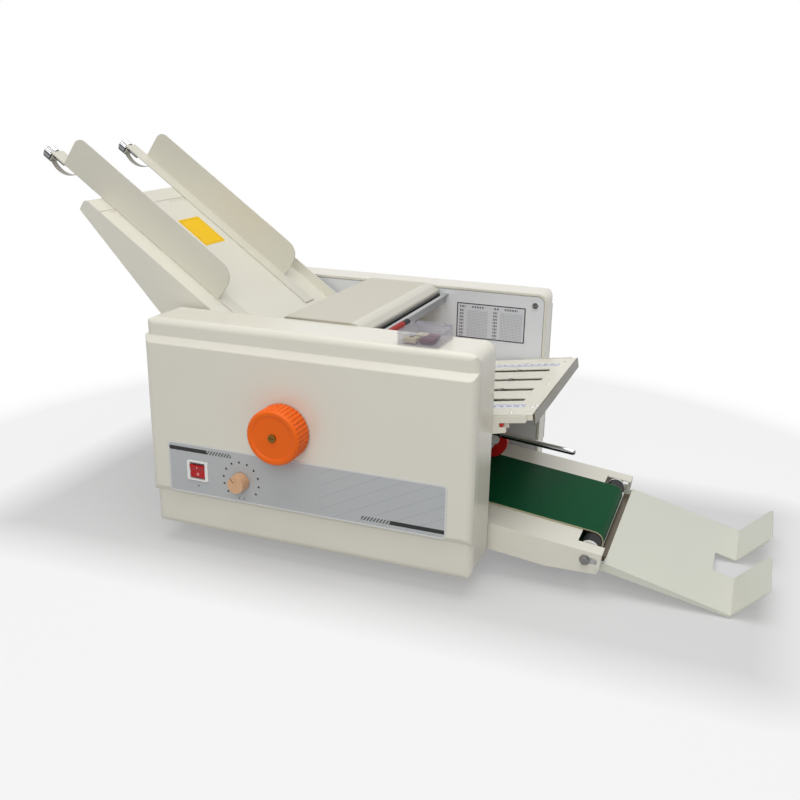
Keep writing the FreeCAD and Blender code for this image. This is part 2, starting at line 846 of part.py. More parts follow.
def belt_loop(place_a, radius_a, place_b, radius_b, y0, y1, thickness):
    """Closed flat belt round two pulleys, a running gap outside their rims."""
    apart_x = place_b[0] - place_a[0]
    apart_z = place_b[1] - place_a[1]
    apart = math.hypot(apart_x, apart_z)
    heading = math.atan2(apart_z, apart_x)

    def loop(extra):
        ra = radius_a + extra
        rb = radius_b + extra
        lean = math.acos((ra - rb) / apart)
        ends = []
        for sign in (1, -1):
            angle = heading + sign * lean
            ends.append((vector(place_a[0] + ra * math.cos(angle), y0, place_a[1] + ra * math.sin(angle)),
                         vector(place_b[0] + rb * math.cos(angle), y0, place_b[1] + rb * math.sin(angle))))
        far_a = vector(place_a[0] - ra * math.cos(heading), y0, place_a[1] - ra * math.sin(heading))
        far_b = vector(place_b[0] + rb * math.cos(heading), y0, place_b[1] + rb * math.sin(heading))
        edges = [Part.LineSegment(ends[0][0], ends[0][1]).toShape(),
                 Part.Arc(ends[0][1], far_b, ends[1][1]).toShape(),
                 Part.LineSegment(ends[1][1], ends[1][0]).toShape(),
                 Part.Arc(ends[1][0], far_a, ends[0][0]).toShape()]
        return Part.Face(Part.Wire(edges)).extrude(vector(0, y1 - y0, 0))

    return loop(belt_gap + thickness).cut(loop(belt_gap))


def drive_belt():
    return belt_loop((motor_x, motor_z), motor_pulley_radius, rollers[2], roller_pulley_radius,
                     rear_row_1 + 0.5, rear_row_1 + pulley_width - 0.5, belt_thickness)


def delivery_drive_belt():
    return belt_loop(rollers[3], delivery_pulley_radius, inner_roller, delivery_pulley_radius,
                     rear_row_2 + 0.5, rear_row_2 + pulley_width - 0.5, belt_thickness)


# Feed table

def on_table(along, up):
    return inclined_point(table_pitch, table_top_x, table_top_z, along, up)


def lay_on_table(shape):
    return incline(shape, table_pitch, table_top_x, table_top_z)


def table_side_outline(inset):
    """Side view of the box under the table in the table's own frame: along the slope, up from it."""
    taper = math.tan(math.radians(table_taper))
    far_depth = table_end_depth + table_taper_length * taper
    return [(inset, -inset, table_corner - inset),
            (inset, -table_end_depth + inset + inset * taper, table_corner / 2 - inset),
            (table_taper_length, -far_depth + inset, 0), (table_length + 2 * inset, -table_mouth_depth, 0),
            (table_length + 2 * inset, -inset, 0)]


def table_box():
    half = table_half_width
    outer = prism_y(table_side_outline(0), -half, half)
    hollow = prism_y(table_side_outline(sheet), -half + sheet, half - sheet)
    open_bottom = prism_y(with_radius([(table_taper_length, -sheet), (table_length + 9, -sheet),
                                       (table_length + 9, -90), (table_taper_length, -90)], 0),
                          -half + sheet, half - sheet)
    shell = outer.cut(hollow).cut(open_bottom)
    lip = prism_y([(0, -table_end_depth / 2, 0), (table_length, -table_end_depth / 2, 0),
                   (table_length, table_lip_height, 8), (0, table_lip_height, 4)], half - sheet, half)
    shell = joined([shell, lip])
    seam = box(table_seam_place, table_seam_place + seam_width, -half, half - sheet, -seam_depth, 1)
    return lay_on_table(shell.cut(seam))


def table_spacers():
    """Short studs that carry the table's sides on the two side plates."""
    shapes = []
    for back, up in table_stud_places:
        x, z = on_table(table_length - back, up)
        for sign in (-1, 1):
            y0, y1 = sorted((sign * table_half_width, sign * plate_inner_y))
            shapes.append(rod_y(x, z, 5.0, y0, y1))
    return shapes


def guide_sheet_metal(y_wing, inward):
    """L-section guide in the table's frame; inward is the side of the wing on which the flange lies."""
    z0 = guide_clearance
    y_other = y_wing + inward * guide_sheet
    wing = prism_y([(guide_wing_start, z0, 0), (guide_wing_end, z0, 4), (guide_wing_end, z0 + guide_height, 19),
                    (guide_wing_start, z0 + guide_height, 10)], min(y_wing, y_other), max(y_wing, y_other))
    y_edge = y_wing + inward * guide_flange_width
    strip = box(guide_strip_start, guide_strip_end, min(y_wing, y_edge), max(y_wing, y_edge), z0,
                z0 + guide_sheet)
    y_tab = y_wing + inward * (guide_flange_width / 2)
    tab = box(guide_strip_start, guide_strip_start + 2, y_tab - 6, y_tab + 6, -thumb_screw_drop - 6, z0)
    shape = joined([wing, strip, tab, leaf_spring(y_tab)])
    hole = rod_x(y_tab, -thumb_screw_drop, thumb_shank_radius + running_gap, guide_strip_start - 1,
                 guide_strip_start + 3)
    return lay_on_table(shape.cut(hole))


def thumb_screw(y_wing, inward):
    y = y_wing + inward * (guide_flange_width / 2)
    x1 = guide_strip_start - 0.4
    x0 = x1 - thumb_screw_length
    points = []
    for index in range(24):
        for share, radius in ((0.0, thumb_screw_radius), (0.5, thumb_screw_radius - 0.4)):
            angle = 2 * math.pi * (index + share) / 24
            points.append((y + radius * math.cos(angle), -thumb_screw_drop + radius * math.sin(angle)))
    head = prism_x(with_radius(points, 0), x0 + 1, x1)
    cap = Part.makeCone(thumb_screw_radius - 1.2, thumb_screw_radius - 0.4, 1.0,
                        vector(x0, y, -thumb_screw_drop), vector(1, 0, 0))
    shank = rod_x(y, -thumb_screw_drop, thumb_shank_radius, x1, x1 + thumb_shank_length)
    return lay_on_table(joined([head, cap, shank]))


def leaf_spring(y):
    """Bowed steel strip under the guide, from the end tab to the strip's underside."""
    x0 = guide_strip_start + 1
    x1 = spring_end
    start = -thumb_screw_drop - 5
    low = start - spring_sag
    middle = (x0 + x1) / 2
    half = spring_width / 2
    upper = [vector(x0, y - half, start), vector(middle, y - half, low), vector(x1, y - half, guide_clearance)]
    lower = [vector(x0, y - half, start - spring_strip), vector(middle, y - half, low - spring_strip),
             vector(x1 + spring_strip, y - half, guide_clearance)]
    edges = [Part.Arc(*upper).toShape(), Part.LineSegment(upper[2], lower[2]).toShape(),
             Part.Arc(lower[2], lower[1], lower[0]).toShape(),
             Part.LineSegment(lower[0], upper[0]).toShape()]
    return Part.Face(Part.Wire(edges)).extrude(vector(0, spring_width, 0))


# Left-hand fold plate and infeed

def left_plate_sheet(up0, up1):
    """One of the two sheets of the left-hand fold plate; along runs up and left from the second nip."""
    sheet_box = box(-left_plate_end, -left_plate_mouth, -left_plate_half_width, left_plate_half_width,
                    up0, up1)
    return incline(sheet_box, nip_2_pitch, nip_2[0], nip_2[1])


def left_fold_plate():
    half_slit = plate_slit / 2
    shapes = [left_plate_sheet(half_slit, half_slit + plate_sheet),
              left_plate_sheet(-half_slit - plate_sheet, -half_slit)]
    for sign in (-1, 1):
        y0, y1 = sorted((sign * (left_plate_half_width - 3), sign * left_plate_half_width))
        bar = box(-left_plate_end, -left_plate_mouth - 20, y0, y1, -half_slit, half_slit)
        shapes.append(incline(bar, nip_2_pitch, nip_2[0], nip_2[1]))
    stop = box(-left_plate_stop, -left_plate_stop + 6, -left_plate_half_width + 1, left_plate_half_width - 1,
               -half_slit, half_slit)
    shapes.append(incline(stop, nip_2_pitch, nip_2[0], nip_2[1]))
    return joined(shapes)


def left_plate_spacers():
    shapes = []
    for along in (150.0, 260.0):
        x, z = inclined_point(nip_2_pitch, nip_2[0], nip_2[1], -along, 0)
        for sign in (-1, 1):
            y0, y1 = sorted((sign * left_plate_half_width, sign * (table_half_width - sheet)))
            shapes.append(rod_y(x, z, 3.5, y0, y1))
    return shapes


infeed_start = on_table(table_length + 1, -2.5)
infeed_slope = math.degrees(math.atan2(infeed_start[1] - plate_nip_z - 3, plate_nip_x - infeed_start[0]))


def infeed_plate():
    """Sheet that leads the paper from the table under the feed roller to the first nip."""
    long = (plate_nip_x - infeed_start[0]) / math.cos(math.radians(infeed_slope)) - infeed_end_gap
    floor = box(0, long, -infeed_half_width, infeed_half_width, -plate_sheet, 0)
    ears = []
    for sign in (-1, 1):
        y0, y1 = sorted((sign * infeed_half_width, sign * plate_inner_y))
        ears.append(box(infeed_ear_start, infeed_ear_end, y0, y1, -plate_sheet, 0))
    return incline(joined([floor] + ears), infeed_slope, infeed_start[0], infeed_start[1])


def separator_pad():
    """Friction pad on the infeed plate, just under the feed roller."""
    angle = math.radians(infeed_slope)
    apart_x = feed_roller_x - infeed_start[0]
    apart_z = feed_roller_z - infeed_start[1]
    along = apart_x * math.cos(angle) - apart_z * math.sin(angle)
    up = apart_x * math.sin(angle) + apart_z * math.cos(angle)
    top = up - feed_roller_radius - pad_gap
    pad = box(along - pad_half_length, along + pad_half_length, -pad_half_width, pad_half_width, 0, top)
    return incline(pad, infeed_slope, infeed_start[0], infeed_start[1])


# Top cover

def top_cover():
    y0 = -cover_half_width
    y1 = cover_half_width
    outer = [(cover_left_x, cover_top_z - 8, 0), (cover_left_x, cover_top_z, 4), (cover_right_x, cover_top_z, 9),
             (cover_slope_x, cover_slope_z, 3), (cover_slope_x, cover_slope_z - 7, 0),
             (cover_slope_x - sheet, cover_slope_z - 7, 0), (cover_slope_x - sheet, cover_slope_z - 1.2, 1.5),
             (cover_right_x - 0.3, cover_top_z - sheet, 7.5), (cover_left_x + sheet, cover_top_z - sheet, 2.5),
             (cover_left_x + sheet, cover_top_z - 8, 0)]
    skin = prism_y(outer, y0, y1)
    skirt_outline = [(cover_left_x + 0.4, cover_top_z - cover_skirt, 3), (cover_left_x + 0.4, cover_top_z - 2, 3),
                     (cover_right_x, cover_top_z - 1, 5), (cover_slope_x - 0.4, cover_slope_z - 1.5, 2),
                     (cover_slope_x - 0.4, cover_slope_z - cover_skirt, 3)]
    shapes = [skin]
    for start in (y0, y1 - sheet):
        shapes.append(prism_y(skirt_outline, start, start + sheet))
    shapes.append(box(cover_slope_x - 0.1, cover_slope_x + cover_seal_depth, y0 + 1, y1 - 6,
                      cover_slope_z - 7, cover_slope_z - 3))
    cover = joined(shapes)
    for start in (y0 - 1, y1 - sheet - 1):
        cover = cover.cut(rod_y(cover_pin_x, cover_pin_z, cover_pin_radius + running_gap, start,
                                start + sheet + 2))
    return cover


def cover_pins():
    pins = []
    for sign in (-1, 1):
        y0, y1 = sorted((sign * (cover_half_width - 3.5), sign * plate_inner_y))
        pins.append(rod_y(cover_pin_x, cover_pin_z, cover_pin_radius, y0, y1))
        skirt_fall = (cover_top_z - cover_slope_z) / (cover_slope_x - cover_left_x)
        rest_drop = skirt_fall * (cover_rest_inset + cover_rest_radius) + cover_rest_radius + soft_gap
        rest_z = cover_top_z - cover_skirt - rest_drop
        pins.append(rod_y(cover_left_x + cover_rest_inset, rest_z, cover_rest_radius, y0, y1))
    return pins


def paper_bar():
    """Bent bar across the gap beside the cover, in front of the rollers."""
    x0 = cover_slope_x + bar_gap
    z1 = cover_slope_z - 4
    bar = [box(x0, x0 + bar_width, -plate_inner_y, plate_inner_y, z1 - sheet, z1),
           box(x0, x0 + sheet, -plate_inner_y, plate_inner_y, z1 - bar_depth, z1)]
    return joined(bar)


# Right-hand fold plate

def lay_on_plate(shape):
    return incline(shape, -plate_pitch, plate_nip_x, plate_nip_z)


def fold_plate_top():
    half_slit = plate_slit / 2
    half = plate_half_width
    top = box(plate_mouth, plate_end, -half, half, half_slit, half_slit + plate_sheet)
    for y in slot_places:
        slot = prism_z([(slot_start, y - slot_width / 2, 2), (slot_end, y - slot_width / 2, 2),
                        (slot_end, y + slot_width / 2, 2), (slot_start, y + slot_width / 2, 2)],
                       half_slit - 1, half_slit + plate_sheet + 1)
        top = top.cut(slot)
    lip = box(plate_end, plate_end + plate_sheet, -half + 2, half, half_slit + plate_sheet - plate_lip,
              half_slit + plate_sheet)
    return lay_on_plate(joined([top, lip]))


def fold_plate_bottom():
    half_slit = plate_slit / 2
    half = plate_half_width
    shapes = [box(plate_mouth, plate_end, -half, half, -half_slit - plate_sheet, -half_slit)]
    for sign in (-1, 1):
        y0, y1 = sorted((sign * (half - 5), sign * half))
        shapes.append(box(plate_mouth + 6, plate_end, y0, y1, -half_slit, half_slit))
        shapes.append(box(hook_pin_place - 6, hook_pin_place + 6, y1 - 2 if sign > 0 else y0,
                          y1 if sign > 0 else y0 + 2, -hook_pin_drop - 4, -half_slit - plate_sheet))
    return lay_on_plate(joined(shapes))


def hook_pins():
    pins = []
    for sign in (-1, 1):
        y0, y1 = sorted((sign * plate_half_width, sign * (half_gap - bracket_gap)))
        pin = Part.makeCylinder(hook_pin_radius, y1 - y0, vector(hook_pin_place, y0, -hook_pin_drop),
                                vector(0, 1, 0))
        pins.append(lay_on_plate(pin))
    return pins


def plate_rivets():
    half_slit = plate_slit / 2
    top = half_slit + plate_sheet
    places = [(169.0, 94.0), (169.0, 0.0), (172.0, -84.0), (plate_end - 3.5, -78.0), (155.0, -101.0)]
    rivets = []
    for along, y in places:
        dome = Part.makeSphere(4.0, vector(along, y, top - 3.2))
        rivets.append(lay_on_plate(dome.common(box(along - 5, along + 5, y - 5, y + 5, top, top + 2))))
    return rivets


def stop_bar():
    """Paper stop: a bar in the slit with fingers up through the slots and a rail above the plate."""
    half_slit = plate_slit / 2
    top = half_slit + plate_sheet
    shapes = [box(stop_place, stop_place + 4, -100.0, 100.0, -half_slit + 0.4, half_slit - 0.4)]
    for y in slot_places:
        shapes.append(box(stop_place, stop_place + 4, y - stop_finger / 2, y + stop_finger / 2,
                          half_slit - 0.4, top + 0.5))
    return lay_on_plate(joined(shapes))


def plate_bracket(side):
    """Hooked bracket on the side plate that carries the fold plate's pin and edge."""
    arm_low = -hook_pin_drop + hook_pin_radius + 0.4
    slot_low = -hook_pin_drop - hook_pin_radius - 0.4
    outline = [(112.0, 3.0, 0), (112.0, -17.0, 4), (147.0, -14.5, 3), (151.6, -14.0, 2), (151.6, slot_low, 1.5),
               (145.0, slot_low, 1.2), (145.0, arm_low, 1.2), (173.0, arm_low, 2.5), (173.0, 3.0, 2)]
    y1 = half_gap - bracket_gap
    shapes = [prism_y(outline, y1 - bracket_thickness, y1)]
    for along in (117.0, 128.0):
        shapes.append(rod_y(along, -5.0, bracket_stud_radius, y1, plate_inner_y))
    bracket = lay_on_plate(joined(shapes))
    return mirrored(bracket) if side < 0 else bracket


# Conveyor

def lay_on_conveyor(shape):
    return incline(shape, conveyor_pitch, conveyor_end_x, conveyor_end_z)


def conveyor_frame():
    half = conveyor_half_width
    outline = [(-conveyor_length, 0, 0), (0, 0, 1), (0, -conveyor_end_depth, 5),
               (-conveyor_kink, -conveyor_depth, 12), (-conveyor_length, -conveyor_depth, 0)]
    outer = prism_y(outline, -half, half)
    inner = box(-conveyor_length - 1, 1, -half + sheet, half - sheet, -conveyor_depth - 8, -sheet)
    frame = outer.cut(inner)
    end_cut = box(-end_roller_inset - 12, 1, -cutout_half_width, cutout_half_width, -sheet - 1, 1)
    inner_cut = box(-inner_roller_inset - 13, -inner_roller_inset + 13, -cutout_half_width,
                    cutout_half_width, -sheet - 1, 1)
    frame = frame.cut(end_cut).cut(inner_cut)
    slot_z = conveyor_axis_drop
    for sign in (-1, 1):
        y0, y1 = sorted((sign * (half - sheet - 1), sign * (half + 1)))
        slot = plate_y(-end_roller_inset - bolt_radius - 0.2, -3.5, slot_z - bolt_radius - 0.2,
                       slot_z + bolt_radius + 0.2, bolt_radius - 0.2, y0, y1)
        frame = frame.cut(slot)
        frame = frame.cut(rod_y(-inner_roller_inset, conveyor_axis_drop, conveyor_shaft_radius + running_gap,
                                y0, y1))
    frame = lay_on_conveyor(frame)
    for sign in (-1, 1):
        y0, y1 = sorted((sign * (half - sheet - 1), sign * (half + 1)))
        frame = frame.cut(rod_y(stacker_pivot_x, stacker_pivot_z, stacker_pin_radius + running_gap, y0, y1))
    return frame


def conveyor_belt():
    radius = conveyor_roller_radius
    return belt_loop(inner_roller, radius, end_roller, radius, -belt_half_width, belt_half_width,
                     conveyor_belt_thickness)


def end_roller_body():
    """Delivery end roller with a ring at each end, free on its fixed shaft."""
    x, z = end_roller
    bore = conveyor_shaft_radius + running_gap
    inner = conveyor_roller_half - ring_width
    shapes = [tube_y(x, z, conveyor_roller_radius, bore, -inner, inner)]
    for y0, y1 in ((-conveyor_roller_half, -inner), (inner, conveyor_roller_half)):
        shapes.append(tube_y(x, z, conveyor_roller_radius + 0.4, bore, y0, y1))
    return joined(shapes)


def end_roller_shaft():
    x, z = end_roller
    half = conveyor_half_width - sheet
    return rod_y(x, z, conveyor_shaft_radius, -half, half)


def tension_bolts():
    """Bolt and washer outside each conveyor wall, in line with the end roller's slot."""
    x, z = end_roller
    bolts = []
    for sign in (-1, 1):
        half = conveyor_half_width
        y0, y1 = sorted((sign * half, sign * (half + 1.2)))
        washer = rod_y(x, z, bolt_washer_radius, y0, y1)
        hexagon = []
        for index in range(6):
            angle = math.radians(60 * index + 10)
            hexagon.append((x + bolt_head_radius * math.cos(angle), z + bolt_head_radius * math.sin(angle)))
        y0, y1 = sorted((sign * (half + 1.2), sign * (half + 5.0)))
        head = prism_y(with_radius(hexagon, 0), y0, y1)
        y0, y1 = sorted((sign * (half - sheet), sign * half))
        neck = rod_y(x, z, bolt_radius - 0.5, y0, y1)
        bolts.append(joined([washer, head, neck]))
    return bolts


def inner_roller_body():
    x, z = inner_roller
    shaft = rod_y(x, z, conveyor_shaft_radius, -plate_outer_y - bush_flange - 1, rear_row_2 + pulley_width)
    sleeve = rod_y(x, z, conveyor_roller_radius, -conveyor_roller_half, conveyor_roller_half)
    return joined([shaft, sleeve])


def conveyor_spacers():
    shapes = []
    for inset in (130.0, 190.0):
        x, z = on_conveyor(inset, -conveyor_depth / 2)
        for sign in (-1, 1):
            y0, y1 = sorted((sign * conveyor_half_width, sign * plate_inner_y))
            shapes.append(rod_y(x, z, 6.0, y0, y1))
    return shapes


# Stacker

def stacker_plate():
    half = stacker_half_width
    top = box(0, stacker_length, -half, half, -sheet, 0)
    notch = prism_z([(stacker_length - stacker_notch_length, -stacker_notch_half, 2),
                     (stacker_length + 1, -stacker_notch_half, 0), (stacker_length + 1, stacker_notch_half, 0),
                     (stacker_length - stacker_notch_length, stacker_notch_half, 2)], -sheet - 1, 1)
    top = top.cut(notch)
    flanges = []
    for y0 in (-half, half - sheet):
        flanges.append(prism_y([(0, 0, 0), (stacker_length, 0, 0), (stacker_length, -stacker_flange_end, 0),
                                (0, -stacker_flange_start, 0)], y0, y0 + sheet))
    plate = incline(joined([top] + flanges), stacker_pitch, stacker_start_x, stacker_start_z)
    tip = inclined_point(stacker_pitch, stacker_start_x, stacker_start_z, stacker_length, -sheet)
    ears = []
    for y0, y1 in ((-half + 1, -stacker_notch_half), (stacker_notch_half, half - 1)):
        ear = Part.Face(rounded_wire([(0, y0, 0), (ear_length, y0, ear_corner), (ear_length, y1, ear_corner),
                                      (0, y1, 0)], lambda u, v: vector(u, v, 0)))
        ear = ear.extrude(vector(0, 0, sheet))
        ears.append(incline(ear, -ear_pitch, tip[0], tip[1]))
    lugs = []
    start = (stacker_start_x, stacker_start_z)
    for y0 in (-half, half - sheet):
        lug = rod_y(stacker_pivot_x, stacker_pivot_z, stacker_lug_radius, y0, y0 + sheet)
        arm = prism_y(with_radius([(stacker_pivot_x - 1, stacker_pivot_z - stacker_lug_radius + 0.2),
                                   (start[0] + 3, start[1] - 9.4), (start[0] + 3, start[1] - 1.4),
                                   (stacker_pivot_x - 1, stacker_pivot_z + stacker_lug_radius - 0.2)], 0),
                      y0, y0 + sheet)
        lugs.append(joined([lug, arm]))
    for sign in (-1, 1):
        pin_y0, pin_y1 = sorted((sign * half, sign * conveyor_half_width))
        lugs.append(rod_y(stacker_pivot_x, stacker_pivot_z, stacker_pin_radius, pin_y0, pin_y1))
    return joined([plate] + ears + lugs)


# Delivery press wheel

def press_shaft():
    return rod_y(press_x, press_z, press_shaft_radius, -plate_inner_y, plate_inner_y)


def press_wheel():
    """Wheel that rides on the belt: a tyre on a slightly wider hub, free on the cross shaft."""
    half = press_wheel_width / 2
    bore = press_shaft_radius + running_gap
    tyre = tube_y(press_x, press_z, press_wheel_radius, bore, press_wheel_y - half, press_wheel_y + half)
    hub = tube_y(press_x, press_z, press_hub_radius, bore, press_wheel_y - half - 1, press_wheel_y + half + 1)
    return joined([tyre, hub])


def press_rod():
    straight = rod_length - rod_radius
    along = Part.makeCylinder(rod_radius, straight + rod_grip, vector(-rod_grip, press_rod_y, rod_rise),
                              vector(1, 0, 0))
    tip = Part.makeSphere(rod_radius, vector(straight, press_rod_y, rod_rise))
    return incline(joined([along, tip]), rod_pitch, press_x, press_z)


def rod_holder():
    """Block that swings on the cross shaft and grips the rod's end, with a flat hook on its front."""
    y0 = press_rod_y - holder_width / 2
    y1 = press_rod_y + holder_width / 2
    outer = rod_radius + holder_wall
    top = rod_rise + outer
    outline = [(-outer, -outer, outer * 0.8), (outer, -outer, outer * 0.8), (outer, 1, 1), (holder_wall, 5, 1),
               (holder_wall, top, 2), (-outer, top, 3)]
    hook = [(-outer, hook_low, 1), (hook_length, hook_low, 4.5), (hook_length, hook_high, 4.5),
            (-outer, hook_high, 1)]
    block = joined([prism_y(outline, y0, y1), prism_y(hook, y0 - hook_thickness, y0)])
    block = block.cut(rod_y(0, 0, press_shaft_radius + running_gap, y0 - hook_thickness, y1))
    bore = Part.makeCylinder(rod_radius, outer + rod_grip, vector(-rod_grip, press_rod_y, rod_rise),
                             vector(1, 0, 0))
    return incline(block.cut(bore), rod_pitch, press_x, press_z)


# Front controls

def switch_hole(y0, y1):
    half_width = (bezel_width - 2 * bezel_edge) / 2 + panel_hole_gap
    half_height = (bezel_height - bezel_edge) / 2 + panel_hole_gap
    return box(switch_x - half_width, switch_x + half_width, y0, y1, switch_z - half_height,
               switch_z + half_height)


def control_panel():
    """Printed plate on the front cover, under the switch and the speed knob."""
    y0 = front_face_y - label_thickness
    plate = plate_y(label_left, label_right, label_bottom, label_top, 4, y0, front_face_y)
    plate = plate.cut(switch_hole(y0 - 1, front_face_y + 1))
    return plate.cut(rod_y(knob_x, knob_z, knob_shaft_radius + 1, y0 - 1, front_face_y + 1))


bezel_y = front_face_y - label_thickness
rocker_pivot_y = bezel_y + rocker_pivot_depth


def switch_bezel():
    y0 = bezel_y - bezel_lip
    y1 = bezel_y + bezel_depth
    half_width = (bezel_width - 2 * bezel_edge) / 2
    half_height = (bezel_height - bezel_edge) / 2
    lip = plate_y(switch_x - bezel_width / 2, switch_x + bezel_width / 2, switch_z - bezel_height / 2,
                  switch_z + bezel_height / 2, 1.5, y0, bezel_y)
    body = box(switch_x - half_width, switch_x + half_width, bezel_y, y1, switch_z - half_height,
               switch_z + half_height)
    inner_width = rocker_width / 2 + rocker_side_gap
    inner_height = rocker_height / 2 + rocker_swing_gap
    well = box(switch_x - inner_width, switch_x + inner_width, y0, y1 - bezel_wall, switch_z - inner_height,
               switch_z + inner_height)
    hole = rod_x(rocker_pivot_y, switch_z, rocker_pin_radius + running_gap, switch_x - half_width,
                 switch_x + half_width)
    return joined([lip, body]).cut(well).cut(hole)


def rocker():
    """Rocker pressed in at the bottom; its pins turn in the bezel's walls."""
    half = rocker_height / 2
    outline = [(-rocker_crest, half, 1), (-rocker_valley, 0, 6), (-rocker_crest, -half, 1), (2.0, -half * 0.6, 1),
               (2.0, half * 0.6, 1)]
    key = prism_x(outline, -rocker_width / 2, rocker_width / 2)
    reach = rocker_width / 2 + rocker_side_gap + 0.9
    pin = rod_x(0, 0, rocker_pin_radius, -reach, reach)
    shape = joined([key, pin])
    shape.rotate(vector(0, 0, 0), vector(1, 0, 0), rocker_tilt)
    shape.translate(vector(switch_x, rocker_pivot_y, switch_z))
    return shape


def speed_knob():
    """Knob with shallow flutes and a raised pointer, in one piece with its shaft."""
    y1 = front_face_y - label_thickness - knob_gap
    y0 = y1 - knob_height
    body = Part.makeCone(knob_radius - 1, knob_radius, knob_height, vector(knob_x, y0, knob_z),
                         vector(0, 1, 0))
    for index in range(knob_flutes):
        angle = 2 * math.pi * index / knob_flutes
        x = knob_x + (knob_radius + 0.6) * math.cos(angle)
        z = knob_z + (knob_radius + 0.6) * math.sin(angle)
        body = body.cut(rod_y(x, z, 1.2, y0 - 1, y1 - 2))
    pointer = box(knob_x - 0.7, knob_x + 0.7, y0 - 0.5, y0 + 0.5, knob_z + 2, knob_z + knob_radius - 2)
    shaft = rod_y(knob_x, knob_z, knob_shaft_radius, y0 + 2, board_y - 2)
    return joined([body, pointer, shaft])


def circuit_board():
    """Board on the front cover's posts, with the speed control's socket and a few components."""
    y1 = board_y + board_thickness
    board = box(board_left, board_right, board_y, y1, board_bottom, board_top)
    socket = tube_y(knob_x, knob_z, knob_shaft_radius + 5, knob_shaft_radius + running_gap, board_y - 8, board_y)
    shapes = [board, socket]
    for x, z, wide, high, deep in ((-125.0, 118.0, 12.0, 14.0, 9.0), (-98.0, 112.0, 16.0, 8.0, 6.0),
                                   (-84.0, 118.0, 5.0, 18.0, 7.0)):
        shapes.append(box(x - wide / 2, x + wide / 2, y1, y1 + deep, z - high / 2, z + high / 2))
    return joined(shapes)


# Spares box

lid_pivot_y = spares_y + spares_width + lid_pivot_reach
lid_pivot_z = housing_top + spares_height + 0.6


def spares_box():
    x1 = spares_x + spares_length
    y1 = spares_y + spares_width
    z1 = housing_top + spares_height
    tub = prism_z([(spares_x, spares_y, 2), (x1, spares_y, 2), (x1, y1, 2), (spares_x, y1, 2)], housing_top, z1)
    wall = spares_wall
    tub = tub.cut(prism_z([(spares_x + wall, spares_y + wall, 1), (x1 - wall, spares_y + wall, 1),
                           (x1 - wall, y1 - wall, 1), (spares_x + wall, y1 - wall, 1)],
                          housing_top + wall, z1))
    shapes = [tub]
    for x0 in (spares_x + 4, x1 - 10):
        shapes.append(rod_x(lid_pivot_y, lid_pivot_z, lid_barrel_radius, x0, x0 + 6))
        shapes.append(box(x0, x0 + 6, y1 - 0.2, lid_pivot_y, lid_pivot_z - lid_barrel_radius, lid_pivot_z - 0.6))
    bore = rod_x(lid_pivot_y, lid_pivot_z, lid_pin_radius + running_gap, spares_x, x1)
    return joined(shapes).cut(bore)


def spares_lid():
    x1 = spares_x + spares_length
    y1 = spares_y + spares_width
    z0 = housing_top + spares_height
    top = prism_z([(spares_x, spares_y, 2), (x1, spares_y, 2), (x1, y1, 2), (spares_x, y1, 2)], z0,
                  z0 + lid_height)
    middle_0 = spares_x + 10 + soft_gap
    middle_1 = x1 - 10 - soft_gap
    barrel = rod_x(lid_pivot_y, lid_pivot_z, lid_barrel_radius, middle_0, middle_1)
    tab = box(middle_0, middle_1, y1 - 1, lid_pivot_y, lid_pivot_z, z0 + lid_height)
    pin = rod_x(lid_pivot_y, lid_pivot_z, lid_pin_radius, spares_x + 4, x1 - 4)
    grip = box(spares_x + spares_length / 2 - 6, spares_x + spares_length / 2 + 6, spares_y - 2, spares_y + 1,
               z0 + 0.8, z0 + lid_height)
    return joined([top, barrel, tab, pin, grip])


def spare_pads():
    """Spare friction pads that lie loose on the box's floor."""
    z0 = housing_top + spares_wall
    pads = [box(spares_x + 4, spares_x + 17, spares_y + 6, spares_y + 19, z0, z0 + 4),
            box(spares_x + 20, spares_x + 33, spares_y + 8, spares_y + 21, z0, z0 + 4),
            box(spares_x + 9, spares_x + 31, spares_y + 26, spares_y + 38, z0, z0 + 3)]
    return pads


# Mains inlet

def power_inlet():
    half_width = inlet_width / 2
    half_height = inlet_height / 2
    y1 = rear_face_y
    flange = plate_y(inlet_x - half_width - 4, inlet_x + half_width + 4, inlet_z - half_height - 3,
                     inlet_z + half_height + 3, 2, y1, y1 + inlet_flange)
    body = box(inlet_x - half_width + 0.2, inlet_x + half_width - 0.2, y1 - inlet_depth, y1,
               inlet_z - half_height + 0.2, inlet_z + half_height - 0.2)
    socket = plate_y(inlet_x - half_width + 3, inlet_x + half_width - 3, inlet_z - half_height + 3,
                     inlet_z + half_height - 3, 2, y1 - inlet_depth + 3, y1 + inlet_flange)
    shape = joined([flange, body]).cut(socket)
    pins = []
    for x, z in ((inlet_x - 6, inlet_z - 2), (inlet_x, inlet_z + 3), (inlet_x + 6, inlet_z - 2)):
        pins.append(box(x - 1, x + 1, y1 - inlet_depth + 2, y1 - 3, z - 2, z + 2))
    return joined([shape] + pins)


def plate_rails():
    """Ledges on the side plates on which the right-hand fold plate slides."""
    shapes = []
    top = -plate_slit / 2 - plate_sheet - 0.2
    for sign in (-1, 1):
        y0, y1 = sorted((sign * (plate_half_width - 3), sign * plate_inner_y))
        shapes.append(lay_on_plate(box(plate_mouth + 14, hook_pin_place - 40, y0, y1, top - 3, top)))
    return shapes


def frame_bars():
    """Tie bars, studs and fixed shafts that join the two side plates and what hangs between them."""
    shapes = tie_bars() + table_spacers() + left_plate_spacers() + cover_pins() + conveyor_spacers()
    return shapes + plate_rails() + [press_shaft(), idler_stud(), paper_bar()]


